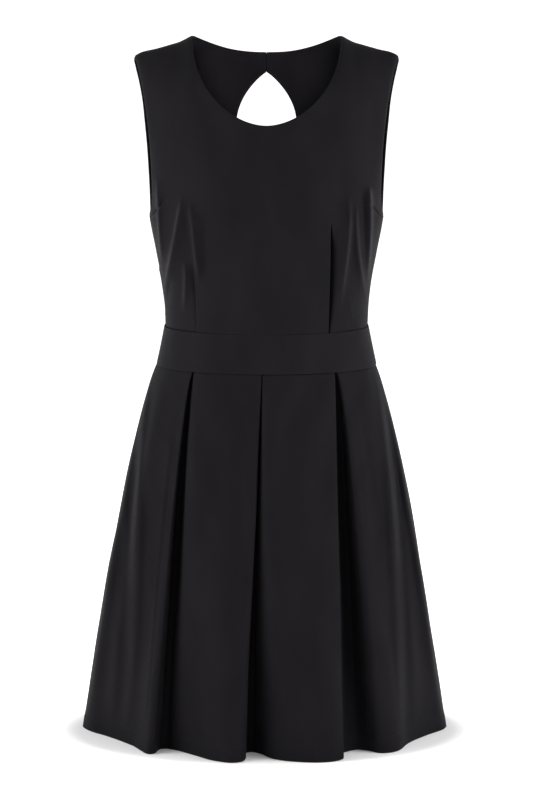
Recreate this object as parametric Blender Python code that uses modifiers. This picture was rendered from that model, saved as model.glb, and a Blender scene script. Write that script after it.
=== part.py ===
"""Cocktail dress: sleeveless fit-and-flare dress, filled out and open at neck, armholes and hem.

Frame: metres, +Z up, the front faces -Y, +X is the viewer's right. The origin lies midway
between the shoulder seams, where the wearer's shoulders hold the dress.

Every cloth piece is an open sheet lofted through sections that are worked out from the sizes
and tables below, and a Solidify modifier turns it into a wall. The bodice and waistband pieces
are mirrored halves; the skirts are lofted whole, since they sway a little to one side and the
three front pleats fall unevenly.
"""
import math

import bpy
import numpy as np

# ---------------------------------------------------------------- driving sizes, in metres
CLOTH = 0.0012          # wall of the dress cloth
BAND_CLOTH = 0.0020     # wall of the waistband, two layers of cloth
SEAM = 0.0004           # clear gap between neighbouring pieces at a seam
Z_NECK_FRONT = -0.0925  # lowest point of the front neckline
Z_NECK_BACK = -0.0122   # lowest point of the back neckline
NECK_HALF = 0.0940      # half width of the neck opening on the shoulder line
TIP_HALF = 0.1650       # half width over the shoulder tips
Z_UNDERARM = -0.2139    # bottom of the armholes
Z_WAIST = -0.3520       # seam between bodice and waistband
Z_BASQUE = -0.4010      # seam between waistband and skirt
Z_HEM = -0.8724         # hem
ROLL = 0.070            # height over which the cloth rolls over the shoulder line

KEYHOLE_TOP = -0.0370   # top of the keyhole, under the neck closure
KEYHOLE_LOW = -0.1560   # bottom of the keyhole
KEYHOLE_WIDE = -0.1060  # height at which the keyhole is widest
KEYHOLE_HALF = 0.0395   # its largest half width
SLIT_HALF = 0.0005      # half gap of the slit between neckline and keyhole

SKIRT_ROUND = 0.42      # fullness of the skirt's plan: 0.5 is an ellipse, less is squarer

BUTTON_RADIUS = 0.0050
BUTTON_HEIGHT = 0.0032
LOOP_WIRE = 0.0006      # radius of the thread loop

# ---------------------------------------------------------------- tables
# Bodice sections from waist seam to above the shoulders. Over the underarm the half widths
# are those of the upper arm, which the armholes cut into; the back is wider there.
BODICE = (
    # z,      front_half, back_half, front_depth, back_depth, front_round, back_round
    (-0.3520, 0.1272, 0.1272, 0.0985, 0.0880, 0.43, 0.43),
    (-0.3250, 0.1283, 0.1283, 0.1030, 0.0865, 0.41, 0.43),
    (-0.3000, 0.1309, 0.1309, 0.1080, 0.0868, 0.39, 0.43),
    (-0.2550, 0.1388, 0.1388, 0.1175, 0.0925, 0.34, 0.41),
    (-0.2139, 0.1459, 0.1459, 0.1240, 0.0985, 0.30, 0.39),
    (-0.1950, 0.1468, 0.1518, 0.1235, 0.1005, 0.30, 0.38),
    (-0.1700, 0.1492, 0.1595, 0.1215, 0.1020, 0.31, 0.37),
    (-0.1300, 0.1550, 0.1645, 0.1140, 0.1015, 0.33, 0.36),
    (-0.0700, 0.1650, 0.1712, 0.0960, 0.0930, 0.37, 0.37),
    (-0.0200, 0.1745, 0.1770, 0.0800, 0.0800, 0.40, 0.40),
    (0.0300, 0.1785, 0.1785, 0.0700, 0.0700, 0.42, 0.42),
)
# Height of the shoulder line across the dress.
SHOULDER = (
    # x,     z
    (0.0000, 0.0230),
    (0.0850, 0.0150),
    (0.0940, 0.0130),
    (0.1000, 0.0096),
    (0.1090, 0.0050),
    (0.1200, 0.0015),
    (0.1400, -0.0042),
    (0.1590, -0.0094),
    (0.1650, -0.0128),
)
# Armhole edges: distance from the centre line at each height.
ARMHOLE = (
    # z,      front_x, back_x
    (-0.2139, 0.1459, 0.1459),
    (-0.2090, 0.1454, 0.1467),
    (-0.2030, 0.1443, 0.1472),
    (-0.1850, 0.1429, 0.1482),
    (-0.1600, 0.1431, 0.1497),
    (-0.1300, 0.1444, 0.1516),
    (-0.1000, 0.1468, 0.1543),
    (-0.0700, 0.1507, 0.1572),
    (-0.0450, 0.1553, 0.1611),
    (-0.0260, 0.1598, 0.1647),
    (-0.0175, 0.1627, 0.1657),
    (-0.0128, 0.1650, 0.1650),
)
# Where the inner edge of a half bodice changes, as shares of it: end of the centre line, of
# the keyhole and of the slit. SIDE_SHARE is the side seam's share of the outer edge.
FRONT_MARKS = {"centre": 0.50}
BACK_MARKS = {"centre": 0.38, "keyhole": 0.76, "slit": 0.82}
SIDE_SHARE = 0.40
# Rows of the bodice grids: shares of the inner edge and of the outer edge.
FRONT_ROWS = (
    (0.00, 0.00), (0.06, 0.08), (0.12, 0.16), (0.18, 0.24), (0.24, 0.32), (0.30, 0.40), (0.34, 0.455),
    (0.38, 0.505), (0.42, 0.55), (0.46, 0.59), (0.50, 0.63), (0.55, 0.67), (0.61, 0.715), (0.67, 0.76),
    (0.74, 0.81), (0.81, 0.86), (0.88, 0.91), (0.94, 0.955), (0.98, 0.985), (1.00, 1.00),
)
BACK_ROWS = (
    (0.00, 0.00), (0.08, 0.07), (0.16, 0.14), (0.24, 0.21), (0.32, 0.28), (0.38, 0.34), (0.43, 0.40),
    (0.48, 0.45), (0.53, 0.50), (0.58, 0.55), (0.64, 0.60), (0.70, 0.655), (0.76, 0.71), (0.82, 0.77),
    (0.87, 0.83), (0.92, 0.89), (0.96, 0.945), (0.985, 0.98), (1.00, 1.00),
)
# Waistband sections, which flare onto the hips.
BAND = (
    # share of height, half_width, front_depth, back_depth, roundness
    (0.0, 0.1286, 0.0984, 0.0884, 0.43),
    (0.5, 0.1335, 0.1015, 0.0922, 0.43),
    (1.0, 0.1386, 0.1042, 0.0962, 0.42),
)
# Skirt outline at shares of its length. The skirt sways a little to the left as it falls.
SKIRT = (
    # share, half_width, sway,    front_depth, back_depth
    (0.00, 0.1382, -0.0006, 0.1040, 0.0960),
    (0.04, 0.1452, -0.0008, 0.1093, 0.1003),
    (0.09, 0.1523, -0.0009, 0.1147, 0.1049),
    (0.20, 0.1660, -0.0008, 0.1258, 0.1143),
    (0.35, 0.1813, -0.0009, 0.1401, 0.1263),
    (0.55, 0.1989, -0.0021, 0.1583, 0.1415),
    (0.75, 0.2148, -0.0028, 0.1758, 0.1562),
    (1.00, 0.2332, -0.0025, 0.1970, 0.1740),
)
# Front skirt, one row for each fold line from the left side to the right side. x is its place
# at the waist seam and at the hem, reached with the given power; "in" is how far it lies
# inside the skirt's outline at the seam, halfway down and at the hem.
FRONT_FOLDS = (
    # fold,                 x_seam,  x_hem,   power, in_seam, in_half, in_hem
    ("left side turn",      -0.1376, -0.2310, 0.78, 0.000, -0.003, 0.0385),
    ("left side face 1",    -0.1335, -0.2200, 0.82, 0.000, 0.012, 0.053),
    ("left side face 2",    -0.1240, -0.2015, 0.78, 0.000, 0.004, 0.059),
    ("left side face 3",    -0.1130, -0.1830, 0.78, 0.000, 0.009, 0.054),
    ("left side face 4",    -0.1040, -0.1670, 0.78, 0.000, 0.008, 0.042),
    ("left lobe rise",      -0.0965, -0.1560, 0.75, 0.000, 0.005, 0.022),
    ("left lobe crest",     -0.0938, -0.1475, 0.72, 0.000, 0.001, 0.0115),
    ("left lip",            -0.0922, -0.1410, 0.68, 0.0005, 0.001, 0.017),
    ("left wall",           -0.0920, -0.1370, 0.66, 0.006, 0.018, 0.034),
    ("left recess 1",       -0.0917, -0.1320, 0.66, 0.012, 0.048, 0.047),
    ("left recess 2",       -0.0906, -0.1240, 0.75, 0.012, 0.050, 0.0515),
    ("left inner wall",     -0.0902, -0.1180, 0.80, 0.006, 0.024, 0.050),
    ("left inner lip",      -0.0898, -0.1120, 0.80, 0.0010, 0.007, 0.0485),
    ("left panel 1",        -0.0870, -0.1030, 0.80, 0.000, 0.0025, 0.042),
    ("left panel 2",        -0.0760, -0.0880, 0.80, 0.000, -0.001, 0.028),
    ("left panel 3",        -0.0600, -0.0710, 0.80, 0.000, -0.002, 0.011),
    ("left panel 4",        -0.0440, -0.0560, 0.80, 0.000, -0.002, 0.003),
    ("left panel crest",    -0.0250, -0.0430, 0.80, 0.000, 0.000, 0.000),
    ("centre lip front",    -0.0104, -0.0350, 0.95, 0.000, 0.000, 0.0035),
    ("centre lip",          -0.0066, -0.0300, 0.98, 0.0005, 0.002, 0.0095),
    ("centre lip back",     -0.0063, -0.0272, 0.98, 0.003, 0.008, 0.0215),
    ("centre wall",         -0.0062, -0.0275, 0.95, 0.006, 0.019, 0.0375),
    ("centre recess 1",     -0.0060, -0.0248, 0.90, 0.012, 0.048, 0.0555),
    ("centre recess 2",     -0.0049, -0.0175, 0.80, 0.012, 0.050, 0.0585),
    ("centre inner wall",   -0.0047, -0.0118, 0.80, 0.005, 0.024, 0.0545),
    ("centre inner lip",    -0.0043, -0.0056, 1.00, 0.0010, 0.008, 0.0470),
    ("right panel 1",       -0.0008, 0.0036, 1.00, 0.000, 0.002, 0.0295),
    ("right panel 2",       0.0080, 0.0120, 1.00, 0.000, -0.001, 0.0195),
    ("right panel 3",       0.0250, 0.0280, 1.00, 0.000, -0.002, 0.0095),
    ("right panel 4",       0.0430, 0.0480, 1.00, 0.000, -0.002, 0.0015),
    ("right panel crest",   0.0610, 0.0660, 1.00, 0.000, -0.002, -0.0035),
    ("right panel 5",       0.0750, 0.0810, 1.00, 0.000, -0.001, -0.003),
    ("right lip front",     0.0818, 0.0900, 1.00, 0.000, 0.000, 0.002),
    ("right lip",           0.0846, 0.0948, 0.95, 0.0005, 0.002, 0.0085),
    ("right lip back",      0.0847, 0.0938, 0.95, 0.003, 0.008, 0.018),
    ("right wall",          0.0847, 0.0945, 0.95, 0.006, 0.020, 0.036),
    ("right recess 1",      0.0849, 0.1010, 0.80, 0.012, 0.052, 0.045),
    ("right recess 2",      0.0861, 0.1125, 0.62, 0.012, 0.054, 0.049),
    ("right inner wall",    0.0866, 0.1215, 0.60, 0.006, 0.034, 0.044),
    ("right inner lip",     0.0871, 0.1290, 0.60, 0.0010, 0.007, 0.036),
    ("right lobe crest",    0.0898, 0.1400, 0.65, 0.000, 0.001, 0.019),
    ("right lobe fall 1",   0.0980, 0.1510, 0.70, 0.000, 0.002, 0.0125),
    ("right lobe fall 2",   0.1060, 0.1640, 0.75, 0.000, 0.006, 0.014),
    ("right side face 1",   0.1150, 0.1790, 0.78, 0.000, 0.006, 0.043),
    ("right side face 2",   0.1240, 0.1975, 0.78, 0.000, 0.006, 0.055),
    ("right side face 3",   0.1335, 0.2160, 0.78, 0.000, 0.012, 0.052),
    ("right side turn",     0.1364, 0.2262, 0.78, 0.000, -0.004, 0.0366),
)
# Back skirt, the half on the +X side, from the centre pleat to the side seam. The other half
# has the same rows turned round.
BACK_FOLDS = (
    # fold,                 x_seam,  x_hem,   power, in_seam, in_half, in_hem
    ("centre recess",       0.0000, 0.0000, 1.00, 0.010, 0.034, 0.046),
    ("centre recess side",  0.0007, 0.0085, 0.90, 0.0085, 0.031, 0.044),
    ("centre wall",         0.0009, 0.0130, 0.90, 0.005, 0.016, 0.029),
    ("centre lip back",     0.0010, 0.0128, 0.90, 0.0025, 0.007, 0.014),
    ("centre lip",          0.0014, 0.0140, 0.90, 0.0005, 0.002, 0.007),
    ("centre lip front",    0.0045, 0.0185, 0.90, 0.000, 0.000, 0.002),
    ("panel 1",             0.0200, 0.0400, 0.90, 0.000, -0.002, -0.002),
    ("panel 2",             0.0440, 0.0660, 0.90, 0.000, -0.002, -0.001),
    ("panel 3",             0.0640, 0.0890, 0.85, 0.000, -0.001, 0.002),
    ("side lip front",      0.0770, 0.1070, 0.80, 0.000, 0.000, 0.006),
    ("side lip",            0.0806, 0.1140, 0.80, 0.0005, 0.002, 0.012),
    ("side lip back",       0.0808, 0.1140, 0.80, 0.003, 0.008, 0.020),
    ("side wall",           0.0809, 0.1150, 0.80, 0.006, 0.018, 0.034),
    ("side recess 1",       0.0811, 0.1200, 0.76, 0.010, 0.030, 0.043),
    ("side recess 2",       0.0823, 0.1300, 0.70, 0.010, 0.031, 0.044),
    ("side inner wall",     0.0826, 0.1365, 0.68, 0.005, 0.018, 0.035),
    ("side inner lip",      0.0831, 0.1410, 0.68, 0.0005, 0.004, 0.025),
    ("lobe crest",          0.0870, 0.1500, 0.70, 0.000, 0.001, 0.016),
    ("lobe fall",           0.1000, 0.1670, 0.75, 0.000, 0.005, 0.018),
    ("side face 1",         0.1130, 0.1850, 0.78, 0.000, 0.009, 0.030),
    ("side face 2",         0.1240, 0.2010, 0.78, 0.000, 0.008, 0.040),
    ("side face 3",         0.1335, 0.2180, 0.78, 0.000, 0.004, 0.042),
    ("side turn",           0.1371, 0.2287, 0.78, 0.000, 0.004, 0.032),
)
# Heights of the skirt's rings, as shares of its length.
SKIRT_RINGS = (0.0, 0.03, 0.08, 0.16, 0.27, 0.40, 0.54, 0.69, 0.84, 1.0)

COLOURS = {
    # material: red, green, blue, roughness
    "black_crepe": (0.016, 0.015, 0.017, 0.62),
    "black_crepe_band": (0.017, 0.016, 0.018, 0.60),
    "button_cloth": (0.014, 0.013, 0.015, 0.45),
    "loop_thread": (0.012, 0.012, 0.013, 0.70),
}


# ---------------------------------------------------------------- curves
def through(table, at, column):
    """Value of a table's column on a smooth curve through its rows, first column as the axis."""
    xs = [row[0] for row in table]
    ys = [row[column] for row in table]
    if xs[0] > xs[-1]:
        xs, ys = xs[::-1], ys[::-1]
    n = len(xs)
    at = min(max(at, xs[0]), xs[-1])
    slopes = []
    for i in range(n):
        a, b = max(i - 1, 0), min(i + 1, n - 1)
        if a == i or b == i:
            slopes.append((ys[b] - ys[a]) / (xs[b] - xs[a]))
            continue
        left = (ys[i] - ys[a]) / (xs[i] - xs[a])
        right = (ys[b] - ys[i]) / (xs[b] - xs[i])
        share = (xs[i] - xs[a]) / (xs[b] - xs[a])
        slopes.append(left * (1 - share) + right * share)
    i = 0
    while i < n - 2 and at > xs[i + 1]:
        i += 1
    h = xs[i + 1] - xs[i]
    s = (at - xs[i]) / h
    return (ys[i] * (2 * s**3 - 3 * s**2 + 1) + slopes[i] * h * (s**3 - 2 * s**2 + s)
            + ys[i + 1] * (3 * s**2 - 2 * s**3) + slopes[i + 1] * h * (s**3 - s**2))


def smooth_path(points, pieces):
    """Centripetal spline through plan points, cut into the given number of pieces per span."""
    pts = [np.array(p, float) for p in points]
    pts = [2 * pts[0] - pts[1]] + pts + [2 * pts[-1] - pts[-2]]
    out = []
    for i in range(1, len(pts) - 2):
        p0, p1, p2, p3 = pts[i - 1:i + 3]
        t1 = np.linalg.norm(p1 - p0) ** 0.5
        t2 = t1 + np.linalg.norm(p2 - p1) ** 0.5
        t3 = t2 + np.linalg.norm(p3 - p2) ** 0.5
        for k in range(pieces):
            t = t1 + (t2 - t1) * k / pieces
            a1 = p0 * (t1 - t) / t1 + p1 * t / t1
            a2 = p1 * (t2 - t) / (t2 - t1) + p2 * (t - t1) / (t2 - t1)
            a3 = p2 * (t3 - t) / (t3 - t2) + p3 * (t - t2) / (t3 - t2)
            b1 = a1 * (t2 - t) / t2 + a2 * t / t2
            b2 = a2 * (t3 - t) / (t3 - t1) + a3 * (t - t1) / (t3 - t1)
            out.append(b1 * (t2 - t) / (t2 - t1) + b2 * (t - t1) / (t2 - t1))
    out.append(pts[-2])
    return out


# ---------------------------------------------------------------- bodice
def bodice_point(p, z, side):
    """Point of the bodice at height z; p is 0 on the centre line and 1 on the side, side -1 front, 1 back."""
    half = through(BODICE, z, 1 if side < 0 else 2)
    depth = through(BODICE, z, 3 if side < 0 else 4)
    roundness = through(BODICE, z, 5 if side < 0 else 6)
    x = half * math.sin(math.pi / 2 * p)
    fall = max(1 - (x / half) ** 2, 0.0) ** roundness
    rise = (through(SHOULDER, min(x, TIP_HALF), 1) - z) / ROLL
    roll = math.sqrt(1 - (1 - min(max(rise, 0.0), 1.0)) ** 2)
    return x, side * (SEAM / 2 + depth * fall * roll), z


def across(x, z, side):
    """The p of a point that lies x from the centre line at height z."""
    return 2 / math.pi * math.asin(min(x / through(BODICE, z, 1 if side < 0 else 2), 1.0))


def neckline(share, side):
    """(x, z) on the neckline, share 0 at the centre and 1 on the shoulder line."""
    low = Z_NECK_FRONT if side < 0 else Z_NECK_BACK
    top = through(SHOULDER, NECK_HALF, 1)
    if side < 0:
        angle = math.pi / 2 * share
        return NECK_HALF * math.sin(angle) ** 1.07, low + (top - low) * (1 - math.cos(angle) ** 1.02)
    return NECK_HALF * share, low + (top - low) * share ** 2.3


def keyhole(turn):
    """(x, z) on the keyhole's +X side, turn 0 at its bottom and 1 where it meets the slit."""
    if turn < 0.45:
        angle = math.pi / 2 * turn / 0.45
        return KEYHOLE_HALF * math.sin(angle), KEYHOLE_WIDE - (KEYHOLE_WIDE - KEYHOLE_LOW) * math.cos(angle)
    down = (1 - (turn - 0.45) / 0.55) ** 1.35
    x = KEYHOLE_HALF * math.sin(math.pi / 2 * down ** 0.82)
    return max(x, SLIT_HALF), KEYHOLE_TOP + (KEYHOLE_WIDE - KEYHOLE_TOP) * down


def inner_edge(share, side):
    """(x, z) up the centre of a half bodice, round the keyhole on the back, and along the neckline."""
    marks = FRONT_MARKS if side < 0 else BACK_MARKS
    if share <= marks["centre"]:
        top = Z_NECK_FRONT if side < 0 else KEYHOLE_LOW
        return 0.0, Z_WAIST + (top - Z_WAIST) * share / marks["centre"]
    if side > 0 and share <= marks["keyhole"]:
        return keyhole((share - marks["centre"]) / (marks["keyhole"] - marks["centre"]))
    if side > 0 and share <= marks["slit"]:
        up = (share - marks["keyhole"]) / (marks["slit"] - marks["keyhole"])
        return SLIT_HALF, KEYHOLE_TOP + (Z_NECK_BACK - KEYHOLE_TOP) * up
    start = marks["slit"] if side > 0 else marks["centre"]
    x, z = neckline((share - start) / (1 - start), side)
    return (max(x, SLIT_HALF) if side > 0 else x), z


def outer_edge(share, side):
    """(x, z) up the side seam and along the armhole to the shoulder tip."""
    if share <= SIDE_SHARE:
        z = Z_WAIST + (Z_UNDERARM - Z_WAIST) * share / SIDE_SHARE
        return through(BODICE, z, 1 if side < 0 else 2), z
    s = (share - SIDE_SHARE) / (1 - SIDE_SHARE)
    top = through(SHOULDER, TIP_HALF, 1)
    # closer steps at the underarm and at the shoulder, where the edge turns
    z = Z_UNDERARM + (top - Z_UNDERARM) * (0.5 - 0.5 * math.cos(math.pi * s))
    return through(ARMHOLE, z, 1 if side < 0 else 2), z


def bodice_sheet(side, columns, rows):
    """Grid of points of the half bodice on the +X side. A row runs from a share of the inner edge
    to a share of the outer edge, and the last one is the shoulder seam."""
    def flat(x, z):
        return np.array((across(x, z, side), z))

    ends = flat(NECK_HALF, through(SHOULDER, NECK_HALF, 1)), flat(TIP_HALF, through(SHOULDER, TIP_HALF, 1))
    grid = []
    for inner, outer in rows:
        a, b = flat(*inner_edge(inner, side)), flat(*outer_edge(outer, side))
        line = []
        for u in columns:
            x = NECK_HALF + (TIP_HALF - NECK_HALF) * u
            bow = flat(x, through(SHOULDER, x, 1)) - (1 - u) * ends[0] - u * ends[1]
            spot = (1 - u) * a + u * b + outer ** 12 * bow
            line.append(bodice_point(spot[0], spot[1], side))
        grid.append(line)
    return grid


# ---------------------------------------------------------------- waistband and skirt
def band_sheet(side, columns):
    """Grid of the half waistband on the +X side."""
    grid = []
    for share in (0.0, 0.25, 0.5, 0.75, 1.0):
        half = through(BAND, share, 1)
        depth = through(BAND, share, 2 if side < 0 else 3)
        roundness = through(BAND, share, 4)
        z = Z_WAIST - SEAM - (Z_WAIST - Z_BASQUE - SEAM) * share
        line = []
        for u in columns:
            x = half * math.sin(math.pi / 2 * u)
            y = depth * max(1 - (x / half) ** 2, 0.0) ** roundness
            line.append((x, side * (SEAM / 2 + y), z))
        grid.append(line)
    return grid


def both_halves(folds):
    """The rows of a half table with their mirror images in front of them."""
    return [(row[0], -row[1], -row[2]) + row[3:] for row in folds[:0:-1]] + list(folds)


def skirt_ring(side, folds, t, pieces):
    """Plan line of the skirt at share t of its length, through the fold lines of a table."""
    half = through(SKIRT, t, 1)
    sway = through(SKIRT, t, 2)
    depth = through(SKIRT, t, 3 if side < 0 else 4)
    points = []
    for _, x_seam, x_hem, power, in_seam, in_half, in_hem in folds:
        x = x_seam + (x_hem - x_seam) * t ** power
        inset = (in_seam * (1 - t) * (1 - 2 * t) + in_half * 4 * t * (1 - t) + in_hem * t * (2 * t - 1))
        if side > 0:
            x += sway * abs(x) / half
        outline = depth * max(1 - ((x - sway) / half) ** 2, 0.0) ** SKIRT_ROUND
        points.append((x, side * (SEAM / 2 + outline - inset)))
    ends = [(sway + half, side * SEAM / 2)]
    starts = [(sway - half, side * SEAM / 2)]
    return smooth_path(starts + points + ends, pieces)


def skirt_sheet(side, folds, pieces, rings):
    grid = []
    for t in rings:
        z = Z_BASQUE - SEAM + (Z_HEM - Z_BASQUE + SEAM) * t
        grid.append([(x, y, z) for x, y in skirt_ring(side, folds, t, pieces)])
    return grid


# ---------------------------------------------------------------- objects
def clear():
    for obj in list(bpy.data.objects):
        bpy.data.objects.remove(obj, do_unlink=True)


def material(name):
    red, green, blue, rough = COLOURS[name]
    mat = bpy.data.materials.new(name)
    mat.use_nodes = True
    shader = mat.node_tree.nodes["Principled BSDF"]
    shader.inputs["Base Color"].default_value = (red, green, blue, 1)
    shader.inputs["Roughness"].default_value = rough
    shader.inputs["Metallic"].default_value = 0.0
    return mat


def loft(name, grid, mat, collection, side):
    """Open sheet through a grid of sections, its faces turned outwards: side -1 is the front, 1 the back."""
    rows, cols = len(grid), len(grid[0])
    verts = [p for line in grid for p in line]
    faces = [(r * cols + c, r * cols + c + 1, (r + 1) * cols + c + 1, (r + 1) * cols + c)
             for r in range(rows - 1) for c in range(cols - 1)]
    mesh = bpy.data.meshes.new(name)
    mesh.from_pydata(verts, [], faces)
    if sum(face.normal[1] * face.area for face in mesh.polygons) * side < 0:
        mesh.flip_normals()
    mesh.materials.append(mat)
    mesh.shade_smooth()
    obj = bpy.data.objects.new(name, mesh)
    collection.objects.link(obj)
    return obj


def mirrored(obj):
    mod = obj.modifiers.new("other half", "MIRROR")
    mod.use_axis = (True, False, False)
    mod.use_clip = True
    mod.use_mirror_merge = True
    mod.merge_threshold = 0.00005
    return obj


def walled(obj, wall):
    mod = obj.modifiers.new("cloth wall", "SOLIDIFY")
    mod.thickness = wall
    mod.offset = 0.0
    mod.use_even_offset = True
    mod.use_rim = True
    return obj


def even(n):
    return [i / n for i in range(n + 1)]


def main():
    clear()
    dress = bpy.data.collections.new("cocktail_dress")
    bpy.context.scene.collection.children.link(dress)
    crepe = material("black_crepe")
    band_cloth = material("black_crepe_band")

    for name, side, rows in (("bodice_front", -1, FRONT_ROWS), ("bodice_back", 1, BACK_ROWS)):
        sheet = loft(name, bodice_sheet(side, even(10), rows), crepe, dress, side)
        walled(mirrored(sheet), CLOTH)
    for name, side in (("waistband_front", -1), ("waistband_back", 1)):
        sheet = loft(name, band_sheet(side, even(10)), band_cloth, dress, side)
        walled(mirrored(sheet), BAND_CLOTH)
    for name, side, folds in (("skirt_front", -1, FRONT_FOLDS), ("skirt_back", 1, both_halves(BACK_FOLDS))):
        walled(loft(name, skirt_sheet(side, folds, 1, SKIRT_RINGS), crepe, dress, side), CLOTH)

    # neck closure at the centre back: a covered button and its thread loop
    z_button = (Z_NECK_BACK + KEYHOLE_TOP) / 2
    x_button = 0.0068
    y_cloth = bodice_point(across(x_button, z_button, 1), z_button, 1)[1] + CLOTH / 2
    tilt = math.atan2(bodice_point(0, z_button - 0.005, 1)[1] - bodice_point(0, z_button + 0.005, 1)[1], 0.010)
    bpy.ops.mesh.primitive_cylinder_add(vertices=24, radius=BUTTON_RADIUS, depth=BUTTON_HEIGHT,
                                        rotation=(math.pi / 2 + tilt, 0, 0))
    button = bpy.context.object
    button.name = button.data.name = "neck_button"
    lift = BUTTON_HEIGHT / 2 + 0.0006
    button.location = (x_button, y_cloth + lift * math.cos(tilt), z_button + lift * math.sin(tilt))
    button.data.materials.append(material("button_cloth"))
    for old in list(button.users_collection):
        old.objects.unlink(button)
    dress.objects.link(button)
    bevel = button.modifiers.new("round rim", "BEVEL")
    bevel.width = 0.0012
    bevel.segments = 2
    bevel.limit_method = "ANGLE"

    # the loop leaves the other edge of the slit, passes round the button under its rim and comes back
    loop = bpy.data.curves.new("neck_loop", "CURVE")
    loop.dimensions = "3D"
    loop.bevel_depth = LOOP_WIRE
    loop.bevel_resolution = 1
    loop.use_fill_caps = True
    line = loop.splines.new("POLY")
    path = [(-0.0040, 0.0026)]
    around = BUTTON_RADIUS + LOOP_WIRE + 0.0003
    for k in range(13):
        angle = math.radians(118 - 236 * k / 12)
        path.append((x_button + around * math.cos(angle), around * math.sin(angle)))
    path.append((-0.0040, -0.0026))
    line.points.add(len(path) - 1)
    stand = LOOP_WIRE + 0.0004
    for point, (x, up) in zip(line.points, path):
        z = z_button + up * math.cos(tilt)
        y = bodice_point(across(abs(x), z, 1), z, 1)[1] + CLOTH / 2 + stand
        point.co = (x, y, z, 1)
    loop_obj = bpy.data.objects.new("neck_loop", loop)
    loop.materials.append(material("loop_thread"))
    dress.objects.link(loop_obj)


main()
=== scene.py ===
import math

import bpy
import numpy as np
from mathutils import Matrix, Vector, kdtree


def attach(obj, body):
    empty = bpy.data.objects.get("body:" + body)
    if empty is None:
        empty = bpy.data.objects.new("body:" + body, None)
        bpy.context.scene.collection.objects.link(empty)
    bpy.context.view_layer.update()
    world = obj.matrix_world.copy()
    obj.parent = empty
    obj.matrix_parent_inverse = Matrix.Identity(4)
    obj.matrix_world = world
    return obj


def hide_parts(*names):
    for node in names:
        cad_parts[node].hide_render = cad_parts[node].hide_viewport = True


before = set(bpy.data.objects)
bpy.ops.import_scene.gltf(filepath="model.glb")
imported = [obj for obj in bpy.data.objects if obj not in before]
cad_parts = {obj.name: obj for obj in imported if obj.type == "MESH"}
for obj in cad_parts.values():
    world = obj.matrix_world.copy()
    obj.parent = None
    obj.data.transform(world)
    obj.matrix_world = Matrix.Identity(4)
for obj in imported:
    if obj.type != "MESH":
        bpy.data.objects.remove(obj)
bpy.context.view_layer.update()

# The dress is rebuilt here from the sizes and tables of the CAD part, at a finer pitch, with the
# cloth's own creases, tucks, darts, turned edges, hem and stitching. Metres, +Z up, front faces -Y.

# ---------------------------------------------------------------- the part's sizes and tables
CLOTH = 0.0012          # wall of the dress cloth
BAND_CLOTH = 0.0020     # wall of the waistband, two layers of cloth
SEAM = 0.0004           # clear gap between neighbouring pieces at a seam
Z_NECK_FRONT = -0.0925  # lowest point of the front neckline
Z_NECK_BACK = -0.0122   # lowest point of the back neckline
NECK_HALF = 0.0940      # half width of the neck opening on the shoulder line
TIP_HALF = 0.1650       # half width over the shoulder tips
Z_UNDERARM = -0.2139    # bottom of the armholes
Z_WAIST = -0.3520       # seam between bodice and waistband
Z_BASQUE = -0.4010      # seam between waistband and skirt
Z_HEM = -0.8724         # hem
ROLL = 0.070            # height over which the cloth rolls over the shoulder line

KEYHOLE_TOP = -0.0370   # top of the keyhole, under the neck closure
KEYHOLE_LOW = -0.1560   # bottom of the keyhole
KEYHOLE_WIDE = -0.1060  # height at which the keyhole is widest
KEYHOLE_HALF = 0.0395   # its largest half width
SLIT_HALF = 0.0005      # half gap of the slit between neckline and keyhole

SKIRT_ROUND = 0.42      # fullness of the skirt's plan: 0.5 is an ellipse, less is squarer

BUTTON_RADIUS = 0.0050
BUTTON_HEIGHT = 0.0032
LOOP_WIRE = 0.0006      # radius of the thread loop

# ---------------------------------------------------------------- tables
# Bodice sections from waist seam to above the shoulders. Over the underarm the half widths
# are those of the upper arm, which the armholes cut into; the back is wider there.
BODICE = (
    # z,      front_half, back_half, front_depth, back_depth, front_round, back_round
    (-0.3520, 0.1272, 0.1272, 0.0985, 0.0880, 0.43, 0.43),
    (-0.3250, 0.1283, 0.1283, 0.1030, 0.0865, 0.41, 0.43),
    (-0.3000, 0.1309, 0.1309, 0.1080, 0.0868, 0.39, 0.43),
    (-0.2550, 0.1388, 0.1388, 0.1175, 0.0925, 0.34, 0.41),
    (-0.2139, 0.1459, 0.1459, 0.1240, 0.0985, 0.30, 0.39),
    (-0.1950, 0.1468, 0.1518, 0.1235, 0.1005, 0.30, 0.38),
    (-0.1700, 0.1492, 0.1595, 0.1215, 0.1020, 0.31, 0.37),
    (-0.1300, 0.1550, 0.1645, 0.1140, 0.1015, 0.33, 0.36),
    (-0.0700, 0.1650, 0.1712, 0.0960, 0.0930, 0.37, 0.37),
    (-0.0200, 0.1745, 0.1770, 0.0800, 0.0800, 0.40, 0.40),
    (0.0300, 0.1785, 0.1785, 0.0700, 0.0700, 0.42, 0.42),
)
# Height of the shoulder line across the dress.
SHOULDER = (
    # x,     z
    (0.0000, 0.0230),
    (0.0850, 0.0150),
    (0.0940, 0.0130),
    (0.1000, 0.0096),
    (0.1090, 0.0050),
    (0.1200, 0.0015),
    (0.1400, -0.0042),
    (0.1590, -0.0094),
    (0.1650, -0.0128),
)
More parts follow.
